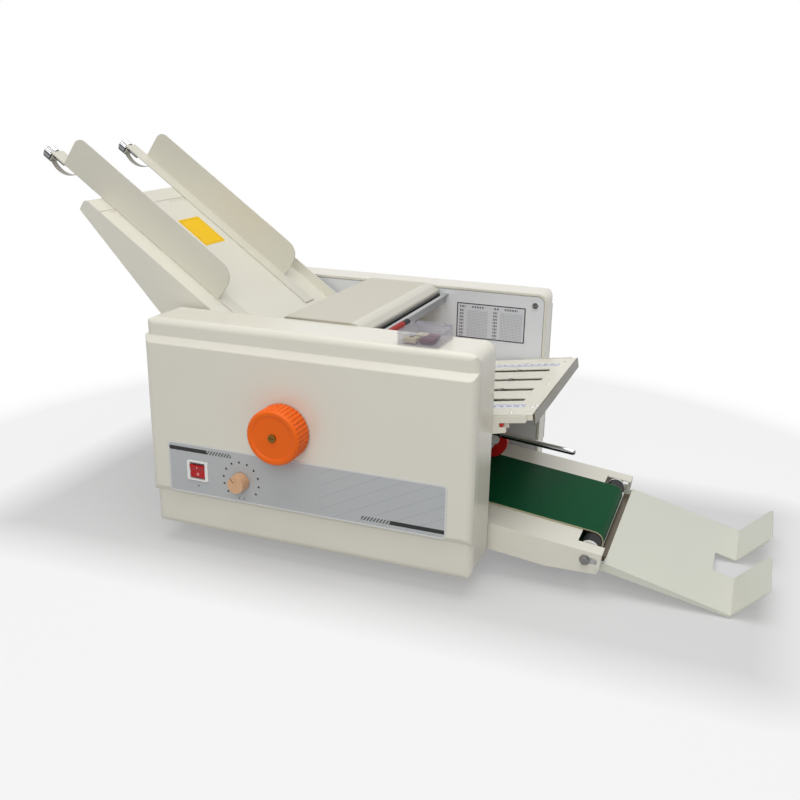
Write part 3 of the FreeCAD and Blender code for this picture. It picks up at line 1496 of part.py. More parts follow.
def build_parts():
    shapes = {}
    shapes["front_cover"] = front_cover()
    shapes["rear_cover"] = rear_cover()
    shapes["front_side_plate"] = side_plate(front_length / 2, -1)
    shapes["rear_side_plate"] = side_plate(rear_length / 2, 1)
    shapes["base_tray"] = base_tray()
    shapes["rubber_feet"] = group(rubber_feet())
    shapes["frame_bars"] = group(frame_bars())
    rear_screws = [mirrored(screw) for screw in cover_screws(rear_length / 2)]
    shapes["cover_screws"] = group(cover_screws(front_length / 2) + rear_screws)
    shapes["shaft_bushes"] = group(bushes(-1) + bushes(1))
    shapes["control_panel"] = control_panel()
    shapes["switch_bezel"] = switch_bezel()
    shapes["power_rocker"] = rocker()
    shapes["speed_knob"] = speed_knob()
    shapes["circuit_board"] = circuit_board()
    shapes["power_inlet"] = power_inlet()
    shapes["motor"] = motor()
    shapes["motor_pulley"] = motor_pulley()
    shapes["drive_belts"] = group([drive_belt(), delivery_drive_belt()])
    for index in range(4):
        number = str(index + 1)
        shapes["fold_roller_" + number] = roller_sleeve(rollers[index], roller_radius)
        shapes["roller_shaft_" + number] = roller_shaft(index)
    shapes["feed_roller"] = roller_sleeve(feed_place, feed_roller_radius)
    shapes["feed_shaft"] = feed_shaft()
    shapes["idler_gear"] = idler_gear()
    shapes["handwheel"] = handwheel()
    shapes["handwheel_screw"] = handwheel_screw()
    shapes["main_gear_shaft"] = main_gear_shaft()
    shapes["feed_table"] = table_box()
    shapes["left_fold_plate"] = left_fold_plate()
    shapes["infeed_plate"] = infeed_plate()
    shapes["separator_pad"] = separator_pad()
    shapes["top_cover"] = top_cover()
    shapes["fold_plate_top"] = fold_plate_top()
    shapes["fold_plate_bottom"] = fold_plate_bottom()
    shapes["hook_pins"] = group(hook_pins())
    shapes["plate_rivets"] = group(plate_rivets())
    shapes["paper_stop"] = stop_bar()
    shapes["plate_brackets"] = group([plate_bracket(-1), plate_bracket(1)])
    shapes["front_guide"] = guide_sheet_metal(front_guide_y, 1)
    shapes["rear_guide"] = guide_sheet_metal(rear_guide_y, -1)
    shapes["front_thumb_screw"] = thumb_screw(front_guide_y, 1)
    shapes["rear_thumb_screw"] = thumb_screw(rear_guide_y, -1)
    shapes["conveyor_frame"] = conveyor_frame()
    shapes["conveyor_belt"] = conveyor_belt()
    shapes["inner_roller"] = inner_roller_body()
    shapes["end_roller"] = end_roller_body()
    shapes["tension_bolts"] = group(tension_bolts() + [end_roller_shaft()])
    shapes["stacker_plate"] = stacker_plate()
    shapes["press_wheel"] = press_wheel()
    shapes["press_rod"] = press_rod()
    shapes["rod_holder"] = rod_holder()
    shapes["spares_box"] = spares_box()
    shapes["spares_lid"] = spares_lid()
    shapes["spare_pads"] = group(spare_pads())
    return shapes


def middle_shift(shapes):
    """Move that puts the origin under the middle of the whole machine's box."""
    whole = group(list(shapes.values())).BoundBox
    return vector(-round((whole.XMin + whole.XMax) / 2, 1), -round((whole.YMin + whole.YMax) / 2, 1), 0)


parts = build_parts()
shift = middle_shift(parts)
print("shift", round(shift.x, 2), round(shift.y, 2), round(shift.z, 2))
os.makedirs("parts", exist_ok=True)
for name, shape in parts.items():
    shape.translate(shift)
    shape.exportStep("parts/" + name + ".step")
    print(name, len(shape.Solids), round(shape.Volume, 1), shape.isValid())
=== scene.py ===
import math

import bmesh
import bpy
from mathutils import Matrix, Vector


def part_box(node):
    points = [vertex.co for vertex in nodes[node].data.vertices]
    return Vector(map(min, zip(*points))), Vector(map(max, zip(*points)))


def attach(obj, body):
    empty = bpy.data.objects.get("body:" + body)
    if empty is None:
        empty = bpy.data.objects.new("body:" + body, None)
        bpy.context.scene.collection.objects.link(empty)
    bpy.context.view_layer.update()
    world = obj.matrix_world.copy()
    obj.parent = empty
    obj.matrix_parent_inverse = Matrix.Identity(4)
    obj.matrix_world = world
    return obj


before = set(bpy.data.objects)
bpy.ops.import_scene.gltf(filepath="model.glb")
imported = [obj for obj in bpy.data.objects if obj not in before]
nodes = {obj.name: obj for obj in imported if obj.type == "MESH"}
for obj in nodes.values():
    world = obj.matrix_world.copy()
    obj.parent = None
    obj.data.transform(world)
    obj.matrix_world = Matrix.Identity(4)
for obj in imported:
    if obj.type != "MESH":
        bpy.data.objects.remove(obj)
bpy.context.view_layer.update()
print("frame loaded,", len(nodes), "nodes")

# the layout starts in the middle of the roller gap, the frame in the middle of the whole length
housingCorner = Vector((-0.180, -0.175, 0.024))  # lowest corner of the front housing in the layout
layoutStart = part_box("front_cover")[0] - housingCorner
lengthways, backwards, upwards = (1, 0, 0), (0, 1, 0), (0, 0, 1)


def place(x, y, z):  # millimetres in the layout to metres in the frame
    return layoutStart + Vector((x, y, z)) / 1000


def rgb(red, green, blue):  # a colour as picked on a screen, 0 to 255
    shares = [part / 255 for part in (red, green, blue)]
    linear = [part / 12.92 if part <= 0.04045 else ((part + 0.055) / 1.055) ** 2.4
              for part in shares]
    return (*linear, 1.0)


class Wire:
    # one socket of a shader tree, so that maths on it reads as plain expressions
    def __init__(self, tree, socket=None):
        self.tree = tree
        self.socket = socket

    def node(self, kind, settings=None, sockets=None, out=0):
        made = self.tree.nodes.new("ShaderNode" + kind)
        for name, value in (settings or {}).items():
            if name == "stops":
                Wire.setStops(made.color_ramp, value)
            else:
                setattr(made, name, value)
        for name, value in (sockets or {}).items():
            if isinstance(value, Wire):
                self.tree.links.new(value.socket, made.inputs[name])
            else:
                made.inputs[name].default_value = value
        return Wire(self.tree, made.outputs[out]) if len(made.outputs) else None

    @staticmethod
    def setStops(ramp, stops):  # each stop is a place on the ramp and its grey
        ramp.elements.remove(ramp.elements[1])
        for count, (spot, grey) in enumerate(stops):
            stop = ramp.elements.new(spot) if count else ramp.elements[0]
            stop.color = (grey, grey, grey, 1.0)
            stop.position = spot

    def maths(self, operation, *others, clamp=False):
        settings = {"operation": operation, "use_clamp": clamp}
        return self.node("Math", settings, dict(enumerate((self, *others))))

    def __add__(self, other):
        return self.maths("ADD", other)

    def __sub__(self, other):
        return self.maths("SUBTRACT", other)

    def __rsub__(self, other):
        return self.node("Math", {"operation": "SUBTRACT"}, {0: other, 1: self})

    def __mul__(self, other):
        return self.maths("MULTIPLY", other)

    def __gt__(self, other):
        return self.maths("GREATER_THAN", other)

    def __lt__(self, other):
        return self.maths("LESS_THAN", other)

    __radd__ = __add__
    __rmul__ = __mul__

    def size(self):
        return self.maths("ABSOLUTE")

    def either(self, other):
        return self.maths("MAXIMUM", other)

    def within(self, low, high):
        return (self > low) * (self < high)

    def every(self, step):  # distance into each repeat
        return self.maths("FLOORED_MODULO", step)

    def ticks(self, step, width):  # a mark of this width at the start of each step
        return self.every(step) < width

    def rise(self, start, rate):  # 0 up to the start, then up to 1 at this rate
        return (self - start).maths("MULTIPLY", rate, clamp=True)

    def reachSquared(self, other):  # of two distances at right angles
        return self * self + other * other

    def reach(self, other):
        return self.reachSquared(other).maths("SQRT")

    def vector(self, operation, *others, out="Vector"):
        settings = {"operation": operation}
        return self.node("VectorMath", settings, dict(enumerate((self, *others))), out)

    def choose(self, low, high):  # this mask picks between two colours
        return self.node("Mix", {"data_type": "RGBA"}, {0: self, 6: low, 7: high}, 2)

    def shade(self, colour):  # this value or colour darkens or lightens another
        settings = {"data_type": "RGBA", "blend_type": "MULTIPLY"}
        return self.node("Mix", settings, {0: 1.0, 6: colour, 7: self}, 2)

    def along(self, origin, axis):  # millimetres from a point along a direction
        return self.vector("SUBTRACT", origin).vector("DOT_PRODUCT", axis, out="Value") * 1000

    def layout(self, axis):  # millimetres in the layout along one of its directions
        return self.along(place(0, 0, 0), axis)

    def noise(self, scale, detail=2.0):
        return self.node("TexNoise", {}, {"Vector": self, "Scale": scale, "Detail": detail})


plainLook = {
    "colour": (224, 220, 208),
    "tone": 0.05,              # how far the colour drifts over the surface
    "cloudScale": 14.0,        # repeats of that drift in a metre
    "cloudDetail": 3.0,
    "grainScale": 900.0,
    "grainDetail": 2.0,
    "grainTone": 0.03,
    "grainHeight": 0.00004,
    "rough": 0.42,
    "roughDrift": 0.08,
    "edge": 0.0008,            # rounding seen on sharp edges
    "edgeSamples": 4,
    "edgeReach": 4.0,          # how soon the rounding counts as a whole edge
    "edgeTone": 1.10,          # rubbed edges are lighter
    "edgeWear": 0.5,
    "wearCloud": (1.6, -0.1),  # gain and start that break the wear up
    "paintedReflectionBands": None,             # painted reflection: how a polished piece darkens between facing down and facing up
    "fixed": {},               # sockets that are the same all over
}


def makeFinish(name, look, paint=None):
    look = {**plainLook, **look}
    material = bpy.data.materials.new(name)
    material.use_nodes = True
    material.node_tree.nodes.clear()
    wire = Wire(material.node_tree)
    at = wire.node("TexCoord", out="Object")
    cloud = at.noise(look["cloudScale"], look["cloudDetail"])
    grain = at.noise(look["grainScale"], look["grainDetail"])
    facing = wire.node("NewGeometry", out="Normal")
    rounded = wire.node("Bevel", {"samples": look["edgeSamples"]}, {"Radius": look["edge"]})
    turned = 1.0 - facing.vector("DOT_PRODUCT", rounded, out="Value")  # above 0 beside an edge
    edges = (turned * look["edgeReach"]).maths("MINIMUM", 1.0)
    worn = edges * cloud.maths("MULTIPLY_ADD", *look["wearCloud"], clamp=True) * look["edgeWear"]
    colour, rough, more = rgb(*look["colour"]), look["rough"], {}
    if paint:
        more = paint(at, colour, edges)
        colour = more.pop("Base Color", colour)
        rough = more.pop("Roughness", rough)
    steady = 1 - look["tone"] - look["grainTone"]
    drift = cloud * (2 * look["tone"]) + grain * (2 * look["grainTone"]) + steady
    colour = drift.shade(colour)
    # painted reflection: a grey picked by facing scales the colour
    if look["paintedReflectionBands"]:
        upward = facing.vector("DOT_PRODUCT", upwards, out="Value") * 0.5 + 0.5  # 0 down to 1 up
        colour = upward.node("ValToRGB", {"stops": look["paintedReflectionBands"]}, {0: upward}).shade(colour)
    colour = (worn * (look["edgeTone"] - 1.0) + 1.0).shade(colour)
    relief = {"Strength": 1.0, "Distance": look["grainHeight"], "Height": grain, "Normal": rounded}
    bump = wire.node("Bump", {}, relief)
    sockets = {**look["fixed"], **more, "Base Color": colour, "Normal": bump}
    sockets["Roughness"] = cloud * (2 * look["roughDrift"]) - look["roughDrift"] + rough
    wire.node("OutputMaterial", {}, {"Surface": wire.node("BsdfPrincipled", {}, sockets)})
    return material


def dress(material, *names):
    for name in names:
        for holder in nodes[name].material_slots:
            holder.material = material


# moulded housings, and the painted plates and tray inside them
housingLook = {
    "colour": (224, 221, 208),
    "tone": 0.03,
    "cloudScale": 6.0,
    "grainScale": 1400.0,
    "grainTone": 0.015,
    "grainHeight": 0.00003,
    "rough": 0.24,
    "roughDrift": 0.05,
    "edge": 0.0015,
    "edgeTone": 1.05,
}
plateLook = {
    "colour": (222, 224, 226),
    "tone": 0.04,
    "cloudScale": 9.0,
    "grainHeight": 0.00002,
    "rough": 0.22,
}
dress(makeFinish("housingMoulding", housingLook), "front_cover", "rear_cover")
dress(makeFinish("sidePlatePaint", plateLook), "front_side_plate", "rear_side_plate")
dress(makeFinish("trayPaint", {"colour": (192, 193, 188), "rough": 0.45}), "base_tray")
print("housings and plates finished")

# painted sheet: feed table, guides, conveyor, stacker, cover and fold plate
paintLook = {
    "colour": (224, 221, 208),
    "tone": 0.03,
    "rough": 0.34,
    "grainScale": 1100.0,
    "grainHeight": 0.00003,
    "edge": 0.0006,
    "edgeTone": 1.06,
}
scaleLook = {
    "start": 24.0,      # down the table
    "fine": 2.0,        # from tick to tick
    "fineWidth": 0.5,
    "fineTo": 26.6,
    "long": 10.0,
    "longWidth": 0.7,
    "longTo": 29.0,
    "above": -0.3,      # only on the upper face
    "inner": 20.0,      # from the table's middle
    "outer": 96.0,
    "ink": (168, 128, 122),
    "inkShare": 0.7,
}
springLook = {"below": -0.6, "before": -38.0, "colour": (176, 172, 162), "metal": 0.3}


def slopedAxes(originX, originZ, pitch):  # down a sloped sheet, across it and out of it
    turn = math.radians(pitch)
    spot = place(originX, 0, originZ)
    return Matrix((
        (math.cos(turn), 0, math.sin(turn), spot.x),
        (0, 1, 0, spot.y),
        (-math.sin(turn), 0, math.cos(turn), spot.z),
        (0, 0, 0, 1),
    ))


feedAxes = slopedAxes(-290.0, 361.2, 35.46)
foldAxes = slopedAxes(42.0, 154.6, -8.5)
beltAxes = slopedAxes(296.0, 47.1, 6.85)


def onSheet(at, axes):  # millimetres down, across and out of a sloped sheet
    return [at.along(axes.translation, tuple(axes.col[axis][:3])) for axis in range(3)]


def paintTable(at, colour, edges):  # a printed width scale beside the bend at the table's head
    down, across, out = onSheet(at, feedAxes)
    fine = across.ticks(scaleLook["fine"], scaleLook["fineWidth"])
    fine = fine * down.within(scaleLook["start"], scaleLook["fineTo"])
    long = across.ticks(scaleLook["long"], scaleLook["longWidth"])
    long = long * down.within(scaleLook["start"], scaleLook["longTo"])
    marks = fine.either(long) * (out > scaleLook["above"])
    marks = marks * (across.size() < scaleLook["outer"]) * (across.size() > scaleLook["inner"])
    return {"Base Color": (marks * scaleLook["inkShare"]).choose(colour, rgb(*scaleLook["ink"]))}


def paintGuide(at, colour, edges):  # the spring strip under each guide is bare steel
    down, across, out = onSheet(at, feedAxes)
    spring = (out < springLook["below"]) * (down < springLook["before"])
    colour = spring.choose(colour, rgb(*springLook["colour"]))
    return {"Base Color": colour, "Metallic": spring * springLook["metal"]}


guideLook = {**paintLook, "colour": (214, 211, 197)}
stackerLook = {**paintLook, "colour": (212, 213, 200)}
dress(makeFinish("tablePaint", paintLook, paintTable), "feed_table")
dress(makeFinish("guidePaint", guideLook, paintGuide), "front_guide", "rear_guide")
dress(makeFinish("sheetPaint", paintLook), "conveyor_frame", "plate_brackets", "infeed_plate")
dress(makeFinish("stackerPaint", stackerLook), "stacker_plate")

coverLook = {
    "colour": (193, 188, 171),
    "tone": 0.03,
    "rough": 0.36,
    "edge": 0.0012,
    "edgeTone": 1.12,
}
# painted highlight along the cover's rounded ridge
ridgeHighlightLook = {"start": 27.0, "rate": 0.4, "colour": (212, 209, 197)}
slopeLook = {"start": 36.0, "rate": 0.3, "colour": (194, 191, 179)}
sealLook = {"start": 45.05, "height": (236.0, 250.0), "colour": (26, 27, 28)}


def paintCover(at, colour, edges):  # painted highlight on the rounded ridge, a greyer cream on the slope, and a black strip under the slope
    along, up = at.layout(lengthways), at.layout(upwards)
    for look in (ridgeHighlightLook, slopeLook):
        colour = along.rise(look["start"], look["rate"]).choose(colour, rgb(*look["colour"]))
    seal = (along > sealLook["start"]) * up.within(*sealLook["height"])
    return {"Base Color": seal.choose(colour, rgb(*sealLook["colour"]))}


foldLook = {
    "colour": (226, 223, 209),
    "tone": 0.04,
    "rough": 0.30,
    "edge": 0.0004,
    "edgeTone": 1.05,
}
flangeShadeLook = {"start": 178.3, "colour": (100, 93, 76), "metal": 0.25}


def paintFold(at, colour, edges):  # the end flange is bare metal, painted dark for the shade on its face
    down, across, out = onSheet(at, foldAxes)
    bare = down > flangeShadeLook["start"]
    # painted shade on the end flange; its Metallic share stands for the bare steel
    colour = bare.choose(colour, rgb(*flangeShadeLook["colour"]))
    return {"Base Color": colour, "Metallic": bare * flangeShadeLook["metal"]}


dress(makeFinish("coverPaint", coverLook, paintCover), "top_cover")
dress(makeFinish("foldPlatePaint", foldLook, paintFold), "fold_plate_top", "fold_plate_bottom")
print("painted sheet finished")

# metals; painted reflection bands pair a facing, 0 down to 1 up, with a grey
metalLook = {
    "fixed": {"Metallic": 1.0},
    "tone": 0.06,
    "rough": 0.32,
    "roughDrift": 0.10,
    "grainScale": 600.0,
    "grainHeight": 0.000015,
    "edge": 0.0004,
    "edgeTone": 1.15,
}
# painted reflection on polished rods, screws and rivets: dark and bright bands by facing
paintedPolishReflection = [
    (0.0, 0.3), (0.30, 0.26), (0.44, 0.07), (0.54, 0.55), (0.68, 0.2), (0.84, 0.8), (1.0, 1.0),
]
# painted reflection on turned steel: darker facing sideways, brightest facing up
paintedTurnedReflection = [(0.0, 0.5), (0.42, 0.42), (0.75, 1.0), (1.0, 1.0)]
turnedLook = {**metalLook, "colour": (172, 172, 170), "paintedReflectionBands": paintedTurnedReflection}
barLook = {**metalLook, "colour": (176, 177, 178), "rough": 0.46}
chromeLook = {
    **metalLook,
    "colour": (222, 223, 224),
    "rough": 0.12,
    "roughDrift": 0.04,
    "paintedReflectionBands": paintedPolishReflection,
}
rodLook = {**chromeLook, "fixed": {}}
sleeveLook = {"span": (129.0, 148.0), "colour": (30, 30, 31)}


def paintRod(at, colour, edges):  # a black sleeve where the press rod leaves its holder
    sleeve = at.layout(lengthways).within(*sleeveLook["span"])
    colour = sleeve.choose(colour, rgb(*sleeveLook["colour"]))
    return {"Base Color": colour, "Metallic": 1.0 - sleeve}


stopLook = {**metalLook, "colour": (120, 118, 112)}
bronzeLook = {**metalLook, "colour": (176, 130, 70), "rough": 0.4}
brassLook = {**metalLook, "colour": (122, 92, 44), "rough": 0.36}
leftPlateLook = {**metalLook, "colour": (198, 199, 196), "rough": 0.38}
turnedSteel = makeFinish("turnedSteel", turnedLook)
polishedSteel = makeFinish("polishedSteel", chromeLook)
dress(turnedSteel, "cover_screws", "feed_shaft", "tension_bolts", "motor_pulley")
dress(makeFinish("barSteel", barLook), "frame_bars")
dress(makeFinish("polishedRod", rodLook, paintRod), "press_rod")
dress(polishedSteel, "front_thumb_screw", "rear_thumb_screw", "plate_rivets")
dress(makeFinish("stopSteel", stopLook), "paper_stop")
dress(makeFinish("bushBronze", bronzeLook), "shaft_bushes")
dress(makeFinish("screwBrass", brassLook), "handwheel_screw")
dress(makeFinish("plateSteel", leftPlateLook), "left_fold_plate")

shaftLook = {**metalLook, "colour": (170, 171, 172), "fixed": {}}
gearLook = {"span": (-137.2, -122.8), "colour": (222, 216, 196), "rough": 0.4}


def paintShaft(at, colour, edges):  # moulded gears on steel shafts
    teeth = at.layout(backwards).within(*gearLook["span"])
    return {"Base Color": teeth.choose(colour, rgb(*gearLook["colour"])), "Metallic": 1.0 - teeth}


gearedShaft = makeFinish("gearedShaft", shaftLook, paintShaft)
for number in range(1, 5):
    dress(gearedShaft, "roller_shaft_%d" % number)
dress(gearedShaft, "main_gear_shaft")
dress(makeFinish("gearMoulding", gearLook), "idler_gear")
print("metals finished")

# rubber and belts
rubberLook = {
    "tone": 0.10,
    "rough": 0.60,
    "grainScale": 700.0,
    "grainHeight": 0.00006,
    "edgeTone": 1.2,
    "fixed": {"Specular IOR Level": 0.25},
}
rollerLook = {**rubberLook, "colour": (176, 40, 34), "rough": 0.48}
rollerEnds = {"start": 96.0, "colour": (34, 34, 35)}     # black bands, from the rollers' middle
endRollerLook = {**rubberLook, "colour": (30, 31, 32)}
endRollerRings = {"start": 85.05, "colour": (226, 226, 220)}  # white rings beside the belt


def endPaint(look):  # another colour past a distance to either side of the middle
    def paint(at, colour, edges):
        ends = at.layout(backwards).size() > look["start"]
        return {"Base Color": ends.choose(colour, rgb(*look["colour"]))}
    return paint


redRubber = makeFinish("redRubber", rollerLook, endPaint(rollerEnds))
darkRubber = makeFinish("darkRubber", {**rubberLook, "colour": (34, 35, 36)})
for number in range(1, 5):
    dress(redRubber, "fold_roller_%d" % number)
dress(makeFinish("endRollerRubber", endRollerLook, endPaint(endRollerRings)), "end_roller")
dress(darkRubber, "rubber_feet", "drive_belts", "inner_roller")
dress(makeFinish("feedRubber", {**rubberLook, "colour": (188, 184, 168)}), "feed_roller")

padLook = {
    "split": 117.0,            # along the machine, between the two pads
    "beige": (212, 200, 166),
    "maroon": (104, 52, 58),
    "hole": (107.0, -151.0),   # along and back
    "holeSquared": 5.5,        # square of the hole's radius
    "dark": (40, 32, 28),
}


def paintPads(at, colour, edges):  # a beige pad with its rivet hole, and a maroon one
    along, back = at.layout(lengthways), at.layout(backwards)
    holeAlong, holeBack = padLook["hole"]
    hole = (along - holeAlong).reachSquared(back - holeBack) < padLook["holeSquared"]
    colour = (along > padLook["split"]).choose(rgb(*padLook["beige"]), rgb(*padLook["maroon"]))
    return {"Base Color": hole.choose(colour, rgb(*padLook["dark"]))}


dress(makeFinish("sparePadRubber", rubberLook, paintPads), "spare_pads")
dress(makeFinish("separatorRubber", {**rubberLook, "colour": (196, 182, 146)}), "separator_pad")

beltLook = {
    "colour": (8, 74, 43),
    "tone": 0.10,
    "cloudScale": 9.0,
    "grainScale": 1500.0,
    "grainHeight": 0.00002,
    "rough": 0.36,
    "edge": 0.0003,
    "fixed": {"Specular IOR Level": 0.02},
}
beltEdge = {"start": 64.75, "colour": (186, 178, 146)}
beltJoint = {"down": -92.0, "slant": 0.35, "half": 0.4, "colour": (14, 52, 36), "share": 0.6}


def paintBelt(at, colour, edges):  # pale woven edges, and a faint slanting joint
    down, across, out = onSheet(at, beltAxes)
    joint = (down + across * beltJoint["slant"] - beltJoint["down"]).size() < beltJoint["half"]
    colour = (joint * beltJoint["share"]).choose(colour, rgb(*beltJoint["colour"]))
    edge = across.size() > beltEdge["start"]
    return {"Base Color": edge.choose(colour, rgb(*beltEdge["colour"]))}


dress(makeFinish("greenBelt", beltLook, paintBelt), "conveyor_belt")
print("rubber and belts finished")

# small mouldings: handwheel, switch, knob, press wheel and clear box
handwheelLook = {
    "colour": (240, 104, 18),
    "tone": 0.06,
    "rough": 0.44,
    "edge": 0.0008,
    "edgeTone": 1.18,
    "fixed": {"Specular IOR Level": 0.22},
}
whiteLook = {"colour": (236, 236, 233), "rough": 0.3}
rockerLook = {
    "colour": (186, 18, 20),
    "tone": 0.06,
    "rough": 0.2,
    "fixed": {"Specular IOR Level": 0.3},
}
rockerMarks = {
    "x": -120.5,
    "bar": (97.6, 100.2),  # its two ends, for on
    "barHalf": 0.35,
    "ringZ": 91.2,         # middle of the ring, for off
    "ring": (0.9, 1.4),
    "colour": (236, 214, 210),
}


def paintRocker(at, colour, edges):  # a bar for on and a ring for off
    across = at.along(place(rockerMarks["x"], 0, 0), lengthways)
    up = at.layout(upwards)
    bar = (across.size() < rockerMarks["barHalf"]) * up.within(*rockerMarks["bar"])
    ring = across.reach(up - rockerMarks["ringZ"]).within(*rockerMarks["ring"])
    return {"Base Color": bar.either(ring).choose(colour, rgb(*rockerMarks["colour"]))}


dress(makeFinish("orangeMoulding", handwheelLook), "handwheel")
dress(makeFinish("whiteMoulding", whiteLook), "switch_bezel", "rod_holder")
dress(makeFinish("redMoulding", rockerLook, paintRocker), "power_rocker")

knobLook = {
    "colour": (216, 172, 132),
    "tone": 0.05,
    "rough": 0.30,
    "edge": 0.0006,
    "edgeTone": 1.15,
}
pointerLook = {"turn": 128.0, "half": 0.5, "start": 3.0, "colour": (86, 58, 40)}
dialLook = {
    "x": -69.0,
    "z": 91.5,
    "ring": (19.6, 21.8),
    "zero": 90.0,           # turn from the lowest place
    "step": 26.0,           # from dot to dot, in degrees
    "dot": 5.6,
    "span": (40.0, 324.0),  # first and last dot
    "endSide": 3.0,         # two short lines under the ring
    "endHalf": 0.6,
    "endHeight": (-20.0, -18.6),
}


def paintKnob(at, colour, edges):  # one dark pointer line
    turn = math.radians(pointerLook["turn"])
    centre = place(dialLook["x"], 0, dialLook["z"])
    outward = at.along(centre, (math.cos(turn), 0.0, math.sin(turn)))
    aside = at.along(centre, (-math.sin(turn), 0.0, math.cos(turn)))
    pointer = (aside.size() < pointerLook["half"]) * (outward > pointerLook["start"])
    return {"Base Color": pointer.choose(colour, rgb(*pointerLook["colour"]))}


dress(makeFinish("knobMoulding", knobLook, paintKnob), "speed_knob")
dress(makeFinish("blackMoulding", {"colour": (30, 31, 32), "rough": 0.4}), "power_inlet")
dress(makeFinish("motorPaint", {"colour": (62, 66, 70), "rough": 0.5}), "motor")
dress(makeFinish("boardGreen", {"colour": (34, 84, 52), "rough": 0.4}), "circuit_board")

wheelLook = {"colour": (226, 42, 36), "rough": 0.34, "fixed": {"Specular IOR Level": 0.3}}
hubLook = {"x": 135.0, "z": 88.7, "radius": 7.0, "colour": (232, 230, 224)}


def paintWheel(at, colour, edges):  # white hub
    centre = place(hubLook["x"], 0, hubLook["z"])
    across, up = at.along(centre, lengthways), at.along(centre, upwards)
    hub = across.reachSquared(up) < hubLook["radius"] ** 2
    return {"Base Color": hub.choose(colour, rgb(*hubLook["colour"]))}


dress(makeFinish("wheelRed", wheelLook, paintWheel), "press_wheel")
dress(makeFinish("pinRed", {"colour": (196, 34, 30), "rough": 0.3, "edge": 0.0003}), "hook_pins")

clearLook = {
    "colour": (176, 172, 186),
    "tone": 0.02,
    "grainTone": 0.0,
    "rough": 0.10,
    "roughDrift": 0.02,
    "edge": 0.0009,
    "edgeWear": 0.0,
    "alpha": 0.18,      # of the plain walls
    "edgeAlpha": 0.65,  # added where a moulded edge catches the light
}


def paintClear(at, colour, edges):
    return {"Alpha": edges * clearLook["edgeAlpha"] + clearLook["alpha"]}


dress(makeFinish("clearMoulding", clearLook, paintClear), "spares_box", "spares_lid")
print("small mouldings finished")

# printed front panel
panelLook = {
    "colour": (184, 187, 188),
    "tone": 0.03,
    "rough": 0.34,
    "roughDrift": 0.05,
    "grainHeight": 0.00001,
    "edge": 0.0003,
    "fixed": {"Specular IOR Level": 0.35},
}
panelInk = (38, 38, 37)
panelBars = [  # how high each bar lies, its solid end and its hatched end
    {"height": (115.0, 119.4), "solid": (-154.5, -109.0), "hatched": (-109.0, -80.0)},
    {"height": (73.0, 77.4), "solid": (97.0, 153.5), "hatched": (66.0, 97.0)},
]
hatchLook = {"lean": 0.7, "step": 3.4, "width": 1.9, "share": 0.8}
strokeLook = {  # thin slanting lines
    "lean": 0.5,
    "step": 13.0,
    "width": 0.8,
    "start": 20.0,
    "share": 0.35,
    "colour": (138, 143, 150),
}
rockerMark = {"side": 0.8, "height": (77.2, 78.6)}  # a short line under the rocker
panelEdge = {
    "x": -0.5,
    "z": 95.85,
    "halfLong": 155.5,
    "halfHigh": 28.15,
    "corner": 4.0,
    "rim": 1.6,
    "colour": (214, 215, 213),
}


def paintPanel(at, colour, edges):
    across, up = at.layout(lengthways), at.layout(upwards)
    strokes = (up - across * strokeLook["lean"]).ticks(strokeLook["step"], strokeLook["width"])
    strokes = strokes * (across > strokeLook["start"]) * strokeLook["share"]
    colour = strokes.choose(colour, rgb(*strokeLook["colour"]))
    hatch = (across - up * hatchLook["lean"]).ticks(hatchLook["step"], hatchLook["width"])
    bars = []
    for look in panelBars:
        hatched = across.within(*look["hatched"]) * hatch * hatchLook["share"]
        bars.append(up.within(*look["height"]) * across.within(*look["solid"]).either(hatched))
    # the dial's dots, round where the knob sits
    knobAcross, knobUp = across - dialLook["x"], up - dialLook["z"]
    turn = knobUp.maths("ARCTAN2", knobAcross) * (180 / math.pi) + dialLook["zero"]
    first, last = dialLook["span"]
    dots = knobAcross.reach(knobUp).within(*dialLook["ring"])
    dots = dots * turn.ticks(dialLook["step"], dialLook["dot"])
    dots = dots * (turn.every(360.0) > first) * (turn.every(360.0) < last)
    ends = (knobAcross.size() - dialLook["endSide"]).size() < dialLook["endHalf"]
    ends = ends * knobUp.within(*dialLook["endHeight"])
    mark = (across - rockerMarks["x"]).size() < rockerMark["side"]
    mark = mark * up.within(*rockerMark["height"])
    ink = bars[0].either(bars[1]).either(dots).either(ends).either(mark)
    colour = ink.choose(colour, rgb(*panelInk))
    # a pale rim with rounded corners
    corner = panelEdge["corner"]
    aside = ((across - panelEdge["x"]).size() - panelEdge["halfLong"] + corner).either(0.0)
    above = ((up - panelEdge["z"]).size() - panelEdge["halfHigh"] + corner).either(0.0)
    rim = aside.reach(above) > corner - panelEdge["rim"]
    return {"Base Color": rim.choose(colour, rgb(*panelEdge["colour"]))}


dress(makeFinish("panelPrint", panelLook, paintPanel), "control_panel")
print("front panel finished")


def finishPiece(name, work, material, body):
    bmesh.ops.recalc_face_normals(work, faces=work.faces)
    mesh = bpy.data.meshes.new(name)
    work.to_mesh(mesh)
    work.free()
    piece = bpy.data.objects.new(name, mesh)
    bpy.context.scene.collection.objects.link(piece)
    mesh.materials.append(material)
    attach(piece, body)
    return piece


cornerSteps = 5  # faces round each corner of a label


